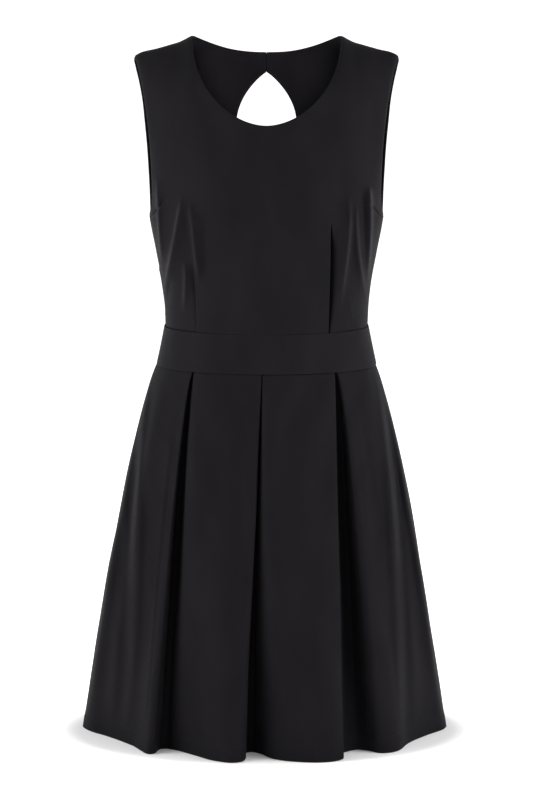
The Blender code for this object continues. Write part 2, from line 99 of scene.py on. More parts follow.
# Armhole edges: distance from the centre line at each height.
ARMHOLE = (
    # z,      front_x, back_x
    (-0.2139, 0.1459, 0.1459),
    (-0.2090, 0.1454, 0.1467),
    (-0.2030, 0.1443, 0.1472),
    (-0.1850, 0.1429, 0.1482),
    (-0.1600, 0.1431, 0.1497),
    (-0.1300, 0.1444, 0.1516),
    (-0.1000, 0.1468, 0.1543),
    (-0.0700, 0.1507, 0.1572),
    (-0.0450, 0.1553, 0.1611),
    (-0.0260, 0.1598, 0.1647),
    (-0.0175, 0.1627, 0.1657),
    (-0.0128, 0.1650, 0.1650),
)
# Where the inner edge of a half bodice changes, as shares of it: end of the centre line, of
# the keyhole and of the slit. SIDE_SHARE is the side seam's share of the outer edge.
FRONT_MARKS = {"centre": 0.50}
BACK_MARKS = {"centre": 0.38, "keyhole": 0.76, "slit": 0.82}
SIDE_SHARE = 0.40
# Rows of the bodice grids: shares of the inner edge and of the outer edge.
FRONT_ROWS = (
    (0.00, 0.00), (0.06, 0.08), (0.12, 0.16), (0.18, 0.24), (0.24, 0.32), (0.30, 0.40), (0.34, 0.455),
    (0.38, 0.505), (0.42, 0.55), (0.46, 0.59), (0.50, 0.63), (0.55, 0.67), (0.61, 0.715), (0.67, 0.76),
    (0.74, 0.81), (0.81, 0.86), (0.88, 0.91), (0.94, 0.955), (0.98, 0.985), (1.00, 1.00),
)
BACK_ROWS = (
    (0.00, 0.00), (0.08, 0.07), (0.16, 0.14), (0.24, 0.21), (0.32, 0.28), (0.38, 0.34), (0.43, 0.40),
    (0.48, 0.45), (0.53, 0.50), (0.58, 0.55), (0.64, 0.60), (0.70, 0.655), (0.76, 0.71), (0.82, 0.77),
    (0.87, 0.83), (0.92, 0.89), (0.96, 0.945), (0.985, 0.98), (1.00, 1.00),
)
# Waistband sections, which flare onto the hips.
BAND = (
    # share of height, half_width, front_depth, back_depth, roundness
    (0.0, 0.1286, 0.0984, 0.0884, 0.43),
    (0.5, 0.1335, 0.1015, 0.0922, 0.43),
    (1.0, 0.1386, 0.1042, 0.0962, 0.42),
)
# Skirt outline at shares of its length. The skirt sways a little to the left as it falls.
SKIRT = (
    # share, half_width, sway,    front_depth, back_depth
    (0.00, 0.1382, -0.0006, 0.1040, 0.0960),
    (0.04, 0.1452, -0.0008, 0.1093, 0.1003),
    (0.09, 0.1523, -0.0009, 0.1147, 0.1049),
    (0.20, 0.1660, -0.0008, 0.1258, 0.1143),
    (0.35, 0.1813, -0.0009, 0.1401, 0.1263),
    (0.55, 0.1989, -0.0021, 0.1583, 0.1415),
    (0.75, 0.2148, -0.0028, 0.1758, 0.1562),
    (1.00, 0.2332, -0.0025, 0.1970, 0.1740),
)
# Front skirt, one row for each fold line from the left side to the right side. x is its place
# at the waist seam and at the hem, reached with the given power; "in" is how far it lies
# inside the skirt's outline at the seam, halfway down and at the hem.
FRONT_FOLDS = (
    # fold,                 x_seam,  x_hem,   power, in_seam, in_half, in_hem
    ("left side turn",      -0.1376, -0.2310, 0.78, 0.000, -0.003, 0.0385),
    ("left side face 1",    -0.1335, -0.2200, 0.82, 0.000, 0.012, 0.053),
    ("left side face 2",    -0.1240, -0.2015, 0.78, 0.000, 0.004, 0.059),
    ("left side face 3",    -0.1130, -0.1830, 0.78, 0.000, 0.009, 0.054),
    ("left side face 4",    -0.1040, -0.1670, 0.78, 0.000, 0.008, 0.042),
    ("left lobe rise",      -0.0965, -0.1560, 0.75, 0.000, 0.005, 0.022),
    ("left lobe crest",     -0.0938, -0.1475, 0.72, 0.000, 0.001, 0.0115),
    ("left lip",            -0.0922, -0.1410, 0.68, 0.0005, 0.001, 0.017),
    ("left wall",           -0.0920, -0.1370, 0.66, 0.006, 0.018, 0.034),
    ("left recess 1",       -0.0917, -0.1320, 0.66, 0.012, 0.048, 0.047),
    ("left recess 2",       -0.0906, -0.1240, 0.75, 0.012, 0.050, 0.0515),
    ("left inner wall",     -0.0902, -0.1180, 0.80, 0.006, 0.024, 0.050),
    ("left inner lip",      -0.0898, -0.1120, 0.80, 0.0010, 0.007, 0.0485),
    ("left panel 1",        -0.0870, -0.1030, 0.80, 0.000, 0.0025, 0.042),
    ("left panel 2",        -0.0760, -0.0880, 0.80, 0.000, -0.001, 0.028),
    ("left panel 3",        -0.0600, -0.0710, 0.80, 0.000, -0.002, 0.011),
    ("left panel 4",        -0.0440, -0.0560, 0.80, 0.000, -0.002, 0.003),
    ("left panel crest",    -0.0250, -0.0430, 0.80, 0.000, 0.000, 0.000),
    ("centre lip front",    -0.0104, -0.0350, 0.95, 0.000, 0.000, 0.0035),
    ("centre lip",          -0.0066, -0.0300, 0.98, 0.0005, 0.002, 0.0095),
    ("centre lip back",     -0.0063, -0.0272, 0.98, 0.003, 0.008, 0.0215),
    ("centre wall",         -0.0062, -0.0275, 0.95, 0.006, 0.019, 0.0375),
    ("centre recess 1",     -0.0060, -0.0248, 0.90, 0.012, 0.048, 0.0555),
    ("centre recess 2",     -0.0049, -0.0175, 0.80, 0.012, 0.050, 0.0585),
    ("centre inner wall",   -0.0047, -0.0118, 0.80, 0.005, 0.024, 0.0545),
    ("centre inner lip",    -0.0043, -0.0056, 1.00, 0.0010, 0.008, 0.0470),
    ("right panel 1",       -0.0008, 0.0036, 1.00, 0.000, 0.002, 0.0295),
    ("right panel 2",       0.0080, 0.0120, 1.00, 0.000, -0.001, 0.0195),
    ("right panel 3",       0.0250, 0.0280, 1.00, 0.000, -0.002, 0.0095),
    ("right panel 4",       0.0430, 0.0480, 1.00, 0.000, -0.002, 0.0015),
    ("right panel crest",   0.0610, 0.0660, 1.00, 0.000, -0.002, -0.0035),
    ("right panel 5",       0.0750, 0.0810, 1.00, 0.000, -0.001, -0.003),
    ("right lip front",     0.0818, 0.0900, 1.00, 0.000, 0.000, 0.002),
    ("right lip",           0.0846, 0.0948, 0.95, 0.0005, 0.002, 0.0085),
    ("right lip back",      0.0847, 0.0938, 0.95, 0.003, 0.008, 0.018),
    ("right wall",          0.0847, 0.0945, 0.95, 0.006, 0.020, 0.036),
    ("right recess 1",      0.0849, 0.1010, 0.80, 0.012, 0.052, 0.045),
    ("right recess 2",      0.0861, 0.1125, 0.62, 0.012, 0.054, 0.049),
    ("right inner wall",    0.0866, 0.1215, 0.60, 0.006, 0.034, 0.044),
    ("right inner lip",     0.0871, 0.1290, 0.60, 0.0010, 0.007, 0.036),
    ("right lobe crest",    0.0898, 0.1400, 0.65, 0.000, 0.001, 0.019),
    ("right lobe fall 1",   0.0980, 0.1510, 0.70, 0.000, 0.002, 0.0125),
    ("right lobe fall 2",   0.1060, 0.1640, 0.75, 0.000, 0.006, 0.014),
    ("right side face 1",   0.1150, 0.1790, 0.78, 0.000, 0.006, 0.043),
    ("right side face 2",   0.1240, 0.1975, 0.78, 0.000, 0.006, 0.055),
    ("right side face 3",   0.1335, 0.2160, 0.78, 0.000, 0.012, 0.052),
    ("right side turn",     0.1364, 0.2262, 0.78, 0.000, -0.004, 0.0366),
)
# Back skirt, the half on the +X side, from the centre pleat to the side seam. The other half
# has the same rows turned round.
BACK_FOLDS = (
    # fold,                 x_seam,  x_hem,   power, in_seam, in_half, in_hem
    ("centre recess",       0.0000, 0.0000, 1.00, 0.010, 0.034, 0.046),
    ("centre recess side",  0.0007, 0.0085, 0.90, 0.0085, 0.031, 0.044),
    ("centre wall",         0.0009, 0.0130, 0.90, 0.005, 0.016, 0.029),
    ("centre lip back",     0.0010, 0.0128, 0.90, 0.0025, 0.007, 0.014),
    ("centre lip",          0.0014, 0.0140, 0.90, 0.0005, 0.002, 0.007),
    ("centre lip front",    0.0045, 0.0185, 0.90, 0.000, 0.000, 0.002),
    ("panel 1",             0.0200, 0.0400, 0.90, 0.000, -0.002, -0.002),
    ("panel 2",             0.0440, 0.0660, 0.90, 0.000, -0.002, -0.001),
    ("panel 3",             0.0640, 0.0890, 0.85, 0.000, -0.001, 0.002),
    ("side lip front",      0.0770, 0.1070, 0.80, 0.000, 0.000, 0.006),
    ("side lip",            0.0806, 0.1140, 0.80, 0.0005, 0.002, 0.012),
    ("side lip back",       0.0808, 0.1140, 0.80, 0.003, 0.008, 0.020),
    ("side wall",           0.0809, 0.1150, 0.80, 0.006, 0.018, 0.034),
    ("side recess 1",       0.0811, 0.1200, 0.76, 0.010, 0.030, 0.043),
    ("side recess 2",       0.0823, 0.1300, 0.70, 0.010, 0.031, 0.044),
    ("side inner wall",     0.0826, 0.1365, 0.68, 0.005, 0.018, 0.035),
    ("side inner lip",      0.0831, 0.1410, 0.68, 0.0005, 0.004, 0.025),
    ("lobe crest",          0.0870, 0.1500, 0.70, 0.000, 0.001, 0.016),
    ("lobe fall",           0.1000, 0.1670, 0.75, 0.000, 0.005, 0.018),
    ("side face 1",         0.1130, 0.1850, 0.78, 0.000, 0.009, 0.030),
    ("side face 2",         0.1240, 0.2010, 0.78, 0.000, 0.008, 0.040),
    ("side face 3",         0.1335, 0.2180, 0.78, 0.000, 0.004, 0.042),
    ("side turn",           0.1371, 0.2287, 0.78, 0.000, 0.004, 0.032),
)
# Heights of the skirt's rings, as shares of its length.
SKIRT_RINGS = (0.0, 0.03, 0.08, 0.16, 0.27, 0.40, 0.54, 0.69, 0.84, 1.0)

# ---------------------------------------------------------------- sizes that only the cloth has
PITCH = 0.0023          # spacing of the cloth's points on the bodice
PITCH_UP = 0.0036       # the same beside the armholes and the neck, where it lies smooth
EDGE_TURN = 0.0008      # extra thickness where an edge is turned in
HEM_TURN = 0.0190       # height of the turned-up hem
HEM_ROWS = (0.0158, 0.0192)   # heights of the two rows of hem stitching above the hem
STITCH = 0.0027         # length of a stitch
STITCH_GAP = 0.0009
THREAD = 0.00019        # radius of the sewing thread
CREST_HIGHLIGHT = 1300.0            # painted highlight: how much lighter the colour is along a sharp fold's line, for each metre that it stands out
BACK_DROP = 0.0240      # height from a place inside the back to the place of the front it lies behind, which places the painted shade there

# Tucks in the front bodice, one row for each side: the sharp edge of the fold runs through three
# points, and the cloth drops behind it and rises again on the far side. "opens" is +1 where the
# drop lies on the +X side of the edge; steep is 1 for a fold that hangs open with upright walls.
TUCKS = (
    # side, x_top,   z_top,   x_mid,  z_mid,   x_low,  z_low,   depth,  width,  opens, steep
    (1, 0.0791, -0.2120, 0.0784, -0.2700, 0.0770, -0.3520, 0.0270, 0.0060, 1, 1),
    (-1, -0.0935, -0.2690, -0.0878, -0.3000, -0.0860, -0.3520, 0.0040, 0.0034, -1, 0),
)
# Side bust darts, from the side seam to the point.
DARTS = (
    # side, x_seam,  z_seam,  x_mid,  z_mid,   x_tip,  z_tip,   depth,  width
    (1, 0.1452, -0.2125, 0.1382, -0.2034, 0.1265, -0.1880, 0.0018, 0.0014),
    (-1, -0.1452, -0.2125, -0.1362, -0.1985, -0.1228, -0.1780, 0.0018, 0.0018),
)
# Folds of the front bodice, which stand out along Y: the cloth rises to the fold's line over
# "inner", coming from the centre front, and falls behind it over "outer"; a negative height is a
# hollow. "ends" is the share of its length over which it comes and goes.
FRONT_CREASES = (
    # x_top,  z_top,   x_mid,   z_mid,   x_low,   z_low,   height,  inner,  outer,  ends
    (-0.1362, -0.1560, -0.1336, -0.2142, -0.1305, -0.2720, 0.0084, 0.0052, 0.0030, 0.26),
    (-0.1040, -0.1770, -0.1146, -0.2350, -0.1312, -0.3206, 0.0092, 0.0085, 0.0030, 0.24),
    (-0.0948, -0.1835, -0.0893, -0.2331, -0.0832, -0.2945, 0.0062, 0.0052, 0.0030, 0.30),
    (-0.0795, -0.1890, -0.0778, -0.2389, -0.0788, -0.2968, -0.0030, 0.0056, 0.0056, 0.35),
    (-0.1020, -0.2600, -0.1006, -0.2880, -0.1034, -0.3313, 0.0054, 0.0060, 0.0030, 0.30),
    (-0.0908, -0.2580, -0.0897, -0.2842, -0.0872, -0.3160, -0.0030, 0.0034, 0.0034, 0.40),
    (-0.1176, -0.2840, -0.1225, -0.3060, -0.1262, -0.3330, -0.0034, 0.0040, 0.0034, 0.35),
    (0.1000, -0.1760, 0.1014, -0.2313, 0.0893, -0.3290, 0.0088, 0.0130, 0.0032, 0.36),
    (0.1116, -0.1820, 0.1131, -0.2413, 0.1258, -0.3260, 0.0076, 0.0064, 0.0030, 0.28),
    (0.1175, -0.1626, 0.1202, -0.2124, 0.1244, -0.2826, -0.0040, 0.0034, 0.0070, 0.30),
    (0.1262, -0.1660, 0.1290, -0.2135, 0.1246, -0.3040, 0.0106, 0.0076, 0.0030, 0.24),
    (0.0985, -0.3000, 0.1030, -0.3160, 0.1060, -0.3448, 0.0018, 0.0060, 0.0060, 0.40),
)
# Creases and darts of the back bodice, the +X half; the other half has them a little changed.
BACK_CREASES = (
    # x_top,  z_top,   x_mid,  z_mid,   x_low,  z_low,   height, width, crest
    (0.0740, -0.1880, 0.0745, -0.2700, 0.0730, -0.3520, -0.0012, 0.0015, 0),
    (0.0950, -0.1980, 0.0990, -0.2550, 0.0960, -0.3300, 0.0030, 0.0044, 1),
    (0.1190, -0.1950, 0.1160, -0.2450, 0.1130, -0.3100, -0.0030, 0.0064, 0),
    (0.1290, -0.2100, 0.1270, -0.2600, 0.1200, -0.3200, 0.0026, 0.0042, 1),
    (0.0860, -0.2150, 0.0860, -0.2700, 0.0850, -0.3250, -0.0018, 0.0060, 0),
    (0.0560, -0.2150, 0.0520, -0.2650, 0.0530, -0.3150, 0.0012, 0.0080, 0),
    (0.1080, -0.3000, 0.1170, -0.3220, 0.1260, -0.3380, 0.0016, 0.0046, 1),
)
# Soft folds of the skirts: places are fold numbers counted from the sheet's first fold line, at
# the top, middle and low end of the crease; from and to are shares of the skirt's length.
SKIRT_FRONT_CREASES = (
    # fold_top, fold_mid, fold_low, from, to, height, width, crest
    (-0.30, 2.40, 3.30, 0.02, 0.96, 0.0077, 0.0100, 0),
    (-0.80, 1.75, 2.60, 0.08, 0.97, -0.0077, 0.0100, 0),
    (4.00, 4.75, 5.15, 0.18, 0.99, 0.0036, 0.0060, 1),
    (-0.80, 0.10, 0.60, 0.34, 1.02, 0.0085, 0.0185, 0),
    (44.9, 43.50, 42.35, 0.02, 0.99, 0.0080, 0.0100, 0),
    (45.6, 44.20, 43.10, 0.10, 0.97, -0.0080, 0.0100, 0),
    (41.6, 41.20, 40.80, 0.10, 0.55, 0.0024, 0.0060, 1),
    (46.8, 45.90, 45.40, 0.34, 1.02, 0.0085, 0.0185, 0),
)
SKIRT_BACK_CREASES = (
    # fold_top, fold_mid, fold_low, from, to, height, width, crest
    (0.70, 1.60, 2.30, 0.03, 0.93, 0.0050, 0.0068, 1),
    (1.40, 0.90, 1.20, 0.20, 0.95, -0.0034, 0.0090, 0),
    (3.30, 3.90, 4.20, 0.22, 0.97, 0.0026, 0.0070, 1),
    (43.2, 42.50, 41.80, 0.04, 0.95, 0.0054, 0.0068, 1),
    (43.6, 43.30, 42.90, 0.22, 0.95, -0.0038, 0.0090, 0),
    (40.6, 40.20, 39.90, 0.25, 0.90, 0.0022, 0.0070, 1),
)


# ---------------------------------------------------------------- curves, on arrays
def through(table, at, column):
    """Column of a table on a smooth curve through its rows, at places along its first column."""
    xs = np.array([row[0] for row in table], float)
    ys = np.array([row[column] for row in table], float)
    if xs[0] > xs[-1]:
        xs, ys = xs[::-1], ys[::-1]
    at = np.clip(np.asarray(at, float), xs[0], xs[-1])
    h = np.diff(xs)
    rise = np.diff(ys) / h
    share = h[:-1] / (h[:-1] + h[1:])
    slopes = np.concatenate([rise[:1], rise[:-1] * (1 - share) + rise[1:] * share, rise[-1:]])
    i = np.clip(np.searchsorted(xs, at) - 1, 0, len(xs) - 2)
    s = (at - xs[i]) / h[i]
    return (ys[i] * (2 * s**3 - 3 * s**2 + 1) + slopes[i] * h[i] * (s**3 - 2 * s**2 + s)
            + ys[i + 1] * (3 * s**2 - 2 * s**3) + slopes[i + 1] * h[i] * (s**3 - s**2))


def smooth_path(points, cuts):
    """Centripetal spline through plan points, at the given numbers of a span."""
    pts = np.array(points, float)
    pts = np.vstack([2 * pts[0] - pts[1], pts, 2 * pts[-1] - pts[-2]])
    out = []
    for i in range(1, len(pts) - 2):
        p0, p1, p2, p3 = pts[i - 1:i + 3]
        t1 = np.linalg.norm(p1 - p0) ** 0.5
        t2 = t1 + np.linalg.norm(p2 - p1) ** 0.5
        t3 = t2 + np.linalg.norm(p3 - p2) ** 0.5
        t = (t1 + (t2 - t1) * np.arange(cuts) / cuts)[:, None]
        a1 = p0 * (t1 - t) / t1 + p1 * t / t1
        a2 = p1 * (t2 - t) / (t2 - t1) + p2 * (t - t1) / (t2 - t1)
        a3 = p2 * (t3 - t) / (t3 - t2) + p3 * (t - t2) / (t3 - t2)
        b1 = a1 * (t2 - t) / t2 + a2 * t / t2
        b2 = a2 * (t3 - t) / (t3 - t1) + a3 * (t - t1) / (t3 - t1)
        out.append(b1 * (t2 - t) / (t2 - t1) + b2 * (t - t1) / (t2 - t1))
    out.append(pts[-2:-1])
    return np.vstack(out)


def curve3(a, b, c, n=80):
    """Points of the parabola through three points, with b halfway along its parameter."""
    a, b, c = (np.array(p, float) for p in (a, b, c))
    s = np.linspace(0, 1, n)[:, None]
    return a * (1 - s) * (1 - 2 * s) + b * 4 * s * (1 - s) + c * s * (2 * s - 1)


# ---------------------------------------------------------------- bodice
def bodice_point(p, z, side):
    """Points of the bodice at height z; p is 0 on the centre line and 1 on the side, side -1 front, 1 back."""
    half = through(BODICE, z, 1 if side < 0 else 2)
    depth = through(BODICE, z, 3 if side < 0 else 4)
    roundness = through(BODICE, z, 5 if side < 0 else 6)
    x = half * np.sin(np.pi / 2 * p)
    fall = np.maximum(1 - (x / half) ** 2, 0.0) ** roundness
    rise = (through(SHOULDER, np.minimum(x, TIP_HALF), 1) - z) / ROLL
    roll = np.sqrt(1 - (1 - np.clip(rise, 0.0, 1.0)) ** 2)
    return np.stack([x, side * (SEAM / 2 + depth * fall * roll), z + 0 * x], axis=-1)


def across(x, z, side):
    return 2 / np.pi * np.arcsin(np.minimum(x / through(BODICE, z, 1 if side < 0 else 2), 1.0))


def neckline(share, side):
    low = Z_NECK_FRONT if side < 0 else Z_NECK_BACK
    top = through(SHOULDER, NECK_HALF, 1)
    if side < 0:
        angle = math.pi / 2 * share
        return NECK_HALF * math.sin(angle) ** 1.07, low + (top - low) * (1 - max(math.cos(angle), 0) ** 1.02)
    return NECK_HALF * share, low + (top - low) * share ** 2.3


def keyhole(turn):
    if turn < 0.45:
        angle = math.pi / 2 * turn / 0.45
        return KEYHOLE_HALF * math.sin(angle), KEYHOLE_WIDE - (KEYHOLE_WIDE - KEYHOLE_LOW) * math.cos(angle)
    down = (1 - (turn - 0.45) / 0.55) ** 1.35
    x = KEYHOLE_HALF * math.sin(math.pi / 2 * down ** 0.82)
    return max(x, SLIT_HALF), KEYHOLE_TOP + (KEYHOLE_WIDE - KEYHOLE_TOP) * down


def inner_edge(share, side):
    marks = FRONT_MARKS if side < 0 else BACK_MARKS
    if share <= marks["centre"]:
        top = Z_NECK_FRONT if side < 0 else KEYHOLE_LOW
        return 0.0, Z_WAIST + (top - Z_WAIST) * share / marks["centre"]
    if side > 0 and share <= marks["keyhole"]:
        return keyhole((share - marks["centre"]) / (marks["keyhole"] - marks["centre"]))
    if side > 0 and share <= marks["slit"]:
        up = (share - marks["keyhole"]) / (marks["slit"] - marks["keyhole"])
        return SLIT_HALF, KEYHOLE_TOP + (Z_NECK_BACK - KEYHOLE_TOP) * up
    start = marks["slit"] if side > 0 else marks["centre"]
    x, z = neckline((share - start) / (1 - start), side)
    return (max(x, SLIT_HALF) if side > 0 else x), z


def outer_edge(share, side):
    if share <= SIDE_SHARE:
        z = Z_WAIST + (Z_UNDERARM - Z_WAIST) * share / SIDE_SHARE
        return through(BODICE, z, 1 if side < 0 else 2), z
    s = (share - SIDE_SHARE) / (1 - SIDE_SHARE)
    top = through(SHOULDER, TIP_HALF, 1)
    z = Z_UNDERARM + (top - Z_UNDERARM) * (0.5 - 0.5 * math.cos(math.pi * s))
    return through(ARMHOLE, z, 1 if side < 0 else 2), z


def fine_rows(rows, side, first):
    """The rows of a bodice table with others between them, no further apart than the pitch."""
    out = [rows[0]]
    for a, b in zip(rows, rows[1:]):
        lengths = []
        for k, edge in ((0, inner_edge), (1, outer_edge)):
            p, q = edge(a[k], side), edge(b[k], side)
            lengths.append(math.hypot(p[0] - q[0], p[1] - q[1]))
        n = max(1, round(max(lengths) / (PITCH if a[1] < SIDE_SHARE + 0.06 else PITCH_UP)))
        out += [tuple(a[k] + (b[k] - a[k]) * (i + 1) / n for k in (0, 1)) for i in range(n)]
    # closer rows beside the waist seam
    share = first / (Z_NECK_FRONT - Z_WAIST if side < 0 else KEYHOLE_LOW - Z_WAIST) * (
        FRONT_MARKS if side < 0 else BACK_MARKS)["centre"]
    ratio = rows[1][1] / rows[1][0]
    near = [(share * k, share * k * ratio) for k in (1.0, 2.0)]
    return [out[0]] + near + [r for r in out[1:] if r[0] > share * 2.6]


def column_places(centre, close):
    """Shares from 0 to 1, close together round one place and at the side."""
    out = [0.0]
    while out[-1] < 1:
        u = out[-1]
        gap = 0.0135
        if close and centre - 0.07 < u < centre + 0.12:
            gap = 0.0024 if centre - 0.012 < u < centre + 0.052 else 0.0060
        elif close and u > centre:
            gap = 0.0062
        if u > 0.955:
            gap = 0.0075
        out.append(u + gap)
    out = np.array(out)
    return out / out[-1]


def half_bodice(side, hand, rows, tuck=None):
    """Grid of points of one half of a bodice piece. hand is +1 for the +X half."""
    def flat(x, z):
        return np.array((across(x, z, side), z), float)

    c0 = 0.40
    places = column_places(c0, tuck is not None)
    corner = through(SHOULDER, NECK_HALF, 1), through(SHOULDER, TIP_HALF, 1)
    ends = flat(NECK_HALF, corner[0]), flat(TIP_HALF, corner[1])
    x = NECK_HALF + (TIP_HALF - NECK_HALF) * places
    bow = np.stack([across(x, through(SHOULDER, x, 1), side), through(SHOULDER, x, 1)], axis=-1)
    bow = bow - (1 - places)[:, None] * ends[0] - places[:, None] * ends[1]
    grid = []
    for inner, outer in rows:
        a, b = flat(*inner_edge(inner, side)), flat(*outer_edge(outer, side))
        u = places
        if tuck is not None:
            # the columns lean so that one of them follows the tuck's sharp edge
            line = curve3((tuck[1], tuck[2]), (tuck[3], tuck[4]), (tuck[5], tuck[6]))
            z_here = min(max(a[1], line[-1][1]), line[0][1])
            x_here = abs(np.interp(-z_here, -line[:, 1], line[:, 0]))
            u_here = float(across(x_here, z_here, side))
            if outer > SIDE_SHARE:
                fade = min((outer - SIDE_SHARE) / 0.35, 1.0)
                u_here += (c0 - u_here) * fade * fade * (3 - 2 * fade)
            u = np.where(places < c0, places / c0 * u_here, u_here + (places - c0) / (1 - c0) * (1 - u_here))
        spots = (1 - u)[:, None] * a + u[:, None] * b
        here_bow = np.stack([np.interp(u, places, bow[:, k]) for k in (0, 1)], axis=-1)
        spots = spots + outer ** 12 * here_bow
        points = bodice_point(spots[:, 0], spots[:, 1], side)
        points[:, 0] *= hand
        grid.append(points)
    return np.array(grid)


def whole_bodice(side, rows, tucks=(None, None)):
    """One mesh for a bodice piece: (points, faces, flat coordinates)."""
    marks = FRONT_MARKS if side < 0 else BACK_MARKS
    points, faces, flats, shared = [], [], [], None
    for hand, tuck in ((1, tucks[0]), (-1, tucks[1])):
        grid = half_bodice(side, hand, rows, tuck)
        n_rows, n_cols = grid.shape[:2]
        right = np.concatenate([np.zeros((n_rows, 1)), np.linalg.norm(np.diff(grid, axis=1), axis=2).cumsum(axis=1)], axis=1)
        right = hand * (right + np.abs(grid[:, :1, 0]))
        up = np.concatenate([np.zeros((1, n_cols)), np.linalg.norm(np.diff(grid, axis=0), axis=2).cumsum(axis=0)], axis=0)
        index = np.arange(n_rows * n_cols).reshape(n_rows, n_cols) + len(points)
        on_centre = [r for r in range(n_rows) if rows[r][0] <= marks["centre"] + 1e-9]
        if hand < 0:
            offset = 0
            for r in range(n_rows):
                for c in range(n_cols):
                    if c == 0 and r in on_centre:
                        index[r, c] = shared[r]
                        continue
                    index[r, c] = len(points)
                    points.append(grid[r, c])
                    flats.append((right[r, c], up[r, c]))
        else:
            points += list(grid.reshape(-1, 3))
            flats += list(zip(right.ravel(), up.ravel()))
            shared = {r: index[r, 0] for r in on_centre}
        for r in range(n_rows - 1):
            for c in range(n_cols - 1):
                quad = (index[r, c], index[r, c + 1], index[r + 1, c + 1], index[r + 1, c])
                faces.append(quad if hand * side < 0 else quad[::-1])
    return np.array(points), np.array(faces), np.array(flats)


# ---------------------------------------------------------------- waistband and skirt
def grid_sheet(grid, side, along):
    """Mesh of a plain grid whose rows run from the -X side to the +X side, downwards."""
    n_rows, n_cols = grid.shape[:2]
    index = np.arange(n_rows * n_cols).reshape(n_rows, n_cols)
    quads = np.stack([index[:-1, :-1], index[1:, :-1], index[1:, 1:], index[:-1, 1:]], axis=-1).reshape(-1, 4)
    if side > 0:
        quads = quads[:, ::-1]
    right = np.concatenate([np.zeros((n_rows, 1)), np.linalg.norm(np.diff(grid, axis=1), axis=2).cumsum(axis=1)], axis=1)
    right -= right[:, n_cols // 2][:, None]
    up = -np.concatenate([np.zeros((1, n_cols)), np.linalg.norm(np.diff(grid, axis=0), axis=2).cumsum(axis=0)], axis=0)
    return grid.reshape(-1, 3), quads, np.stack([right.ravel(), up.ravel()], axis=-1)


def band_grid(side, shares):
    grid = []
    for share in shares:
        half = through(BAND, share, 1)
        depth = through(BAND, share, 2 if side < 0 else 3)
        roundness = through(BAND, share, 4)
        z = Z_WAIST - SEAM - (Z_WAIST - Z_BASQUE - SEAM) * share
        u = np.linspace(-1, 1, 181)
        x = half * np.sin(np.pi / 2 * u)
        y = depth * np.maximum(1 - (x / half) ** 2, 0.0) ** roundness
        grid.append(np.stack([x, side * (SEAM / 2 + y), z + 0 * x], axis=-1))
    return np.array(grid)


def both_halves(folds):
    return [(row[0], -row[1], -row[2]) + row[3:] for row in folds[:0:-1]] + list(folds)


def skirt_ring(side, folds, t, cuts):
    half = float(through(SKIRT, t, 1))
    sway = float(through(SKIRT, t, 2))
    depth = float(through(SKIRT, t, 3 if side < 0 else 4))
    points = []
    for _, x_seam, x_hem, power, in_seam, in_half, in_hem in folds:
        x = x_seam + (x_hem - x_seam) * t ** power
        inset = (in_seam * (1 - t) * (1 - 2 * t) + in_half * 4 * t * (1 - t) + in_hem * t * (2 * t - 1))
        if side > 0:
            x += sway * abs(x) / half
        outline = depth * max(1 - ((x - sway) / half) ** 2, 0.0) ** SKIRT_ROUND
        points.append((x, side * (SEAM / 2 + outline - inset)))
    ends = [(sway + half, side * SEAM / 2)]
    starts = [(sway - half, side * SEAM / 2)]
    return smooth_path(starts + points + ends, cuts)


def skirt_grid(side, folds, cuts, shares):
    grid = []
    for t in shares:
        z = Z_BASQUE - SEAM + (Z_HEM - Z_BASQUE + SEAM) * t
        ring = skirt_ring(side, folds, t, cuts)
        grid.append(np.column_stack([ring, np.full(len(ring), z)]))
    return np.array(grid)


# ---------------------------------------------------------------- cloth: normals, creases, walls
def normals_of(points, faces):
    tri = points[faces]
    across_1, across_2 = tri[:, 2] - tri[:, 0], tri[:, 3] - tri[:, 1]
    face_normal = np.cross(across_1, across_2)
    out = np.zeros_like(points)
    for k in range(4):
        np.add.at(out, faces[:, k], face_normal)
    return out / np.maximum(np.linalg.norm(out, axis=1), 1e-12)[:, None]


def tree_of(line):
    tree = kdtree.KDTree(len(line))
    for i, p in enumerate(line):
        tree.insert(Vector(p), i)
    tree.balance()
    return tree


def to_line(points, line):
    """Distance of each point to a line of points, the share of the line it is next to, and the offset."""
    tree = tree_of(line)
    index = np.array([tree.find(Vector(p))[1] for p in points])
    line = np.asarray(line)
    low = np.clip(index, 1, len(line) - 2)
    tangent = line[low + 1] - line[low - 1]
    tangent /= np.linalg.norm(tangent, axis=1)[:, None]
    offset = points - line[index]
    along = (offset * tangent).sum(axis=1)
    inside = (index > 0) & (index < len(line) - 1)
    offset = np.where(inside[:, None], offset - along[:, None] * tangent, offset)
    return np.linalg.norm(offset, axis=1), index / (len(line) - 1), offset


def on_bodice(row, side, first, n=240):
    """Line of points on a bodice through the three (x, z) places that start at a row's given column."""
    flat = curve3(row[first:first + 2], row[first + 2:first + 4], row[first + 4:first + 6], n)
    hand = np.sign(flat[:, 0])
    points = bodice_point(across(np.abs(flat[:, 0]), flat[:, 1], side), flat[:, 1], side)
    points[:, 0] *= np.where(hand == 0, 1, hand)
    return points


def step_up(value):
    """A soft step from 0 to 1."""
    return 1 / (1 + np.exp(-np.clip(value, -50, 50)))


def swell(share, power=0.8):
    return np.sin(np.pi * np.clip(share, 0, 1)) ** power


def crease(points, line, height, width, crest, power=0.6):
    """Soft fold along a line: a round swell, or a pinched crest between straight flanks."""
    distance, share, _ = to_line(points, line)
    if crest:
        tip = 0.22 * width
        across_it = np.exp(-(np.sqrt(distance**2 + tip**2) - tip) / (0.62 * width))
    else:
        across_it = np.exp(-(distance / width) ** 2)
    return height * across_it * swell(share, power)


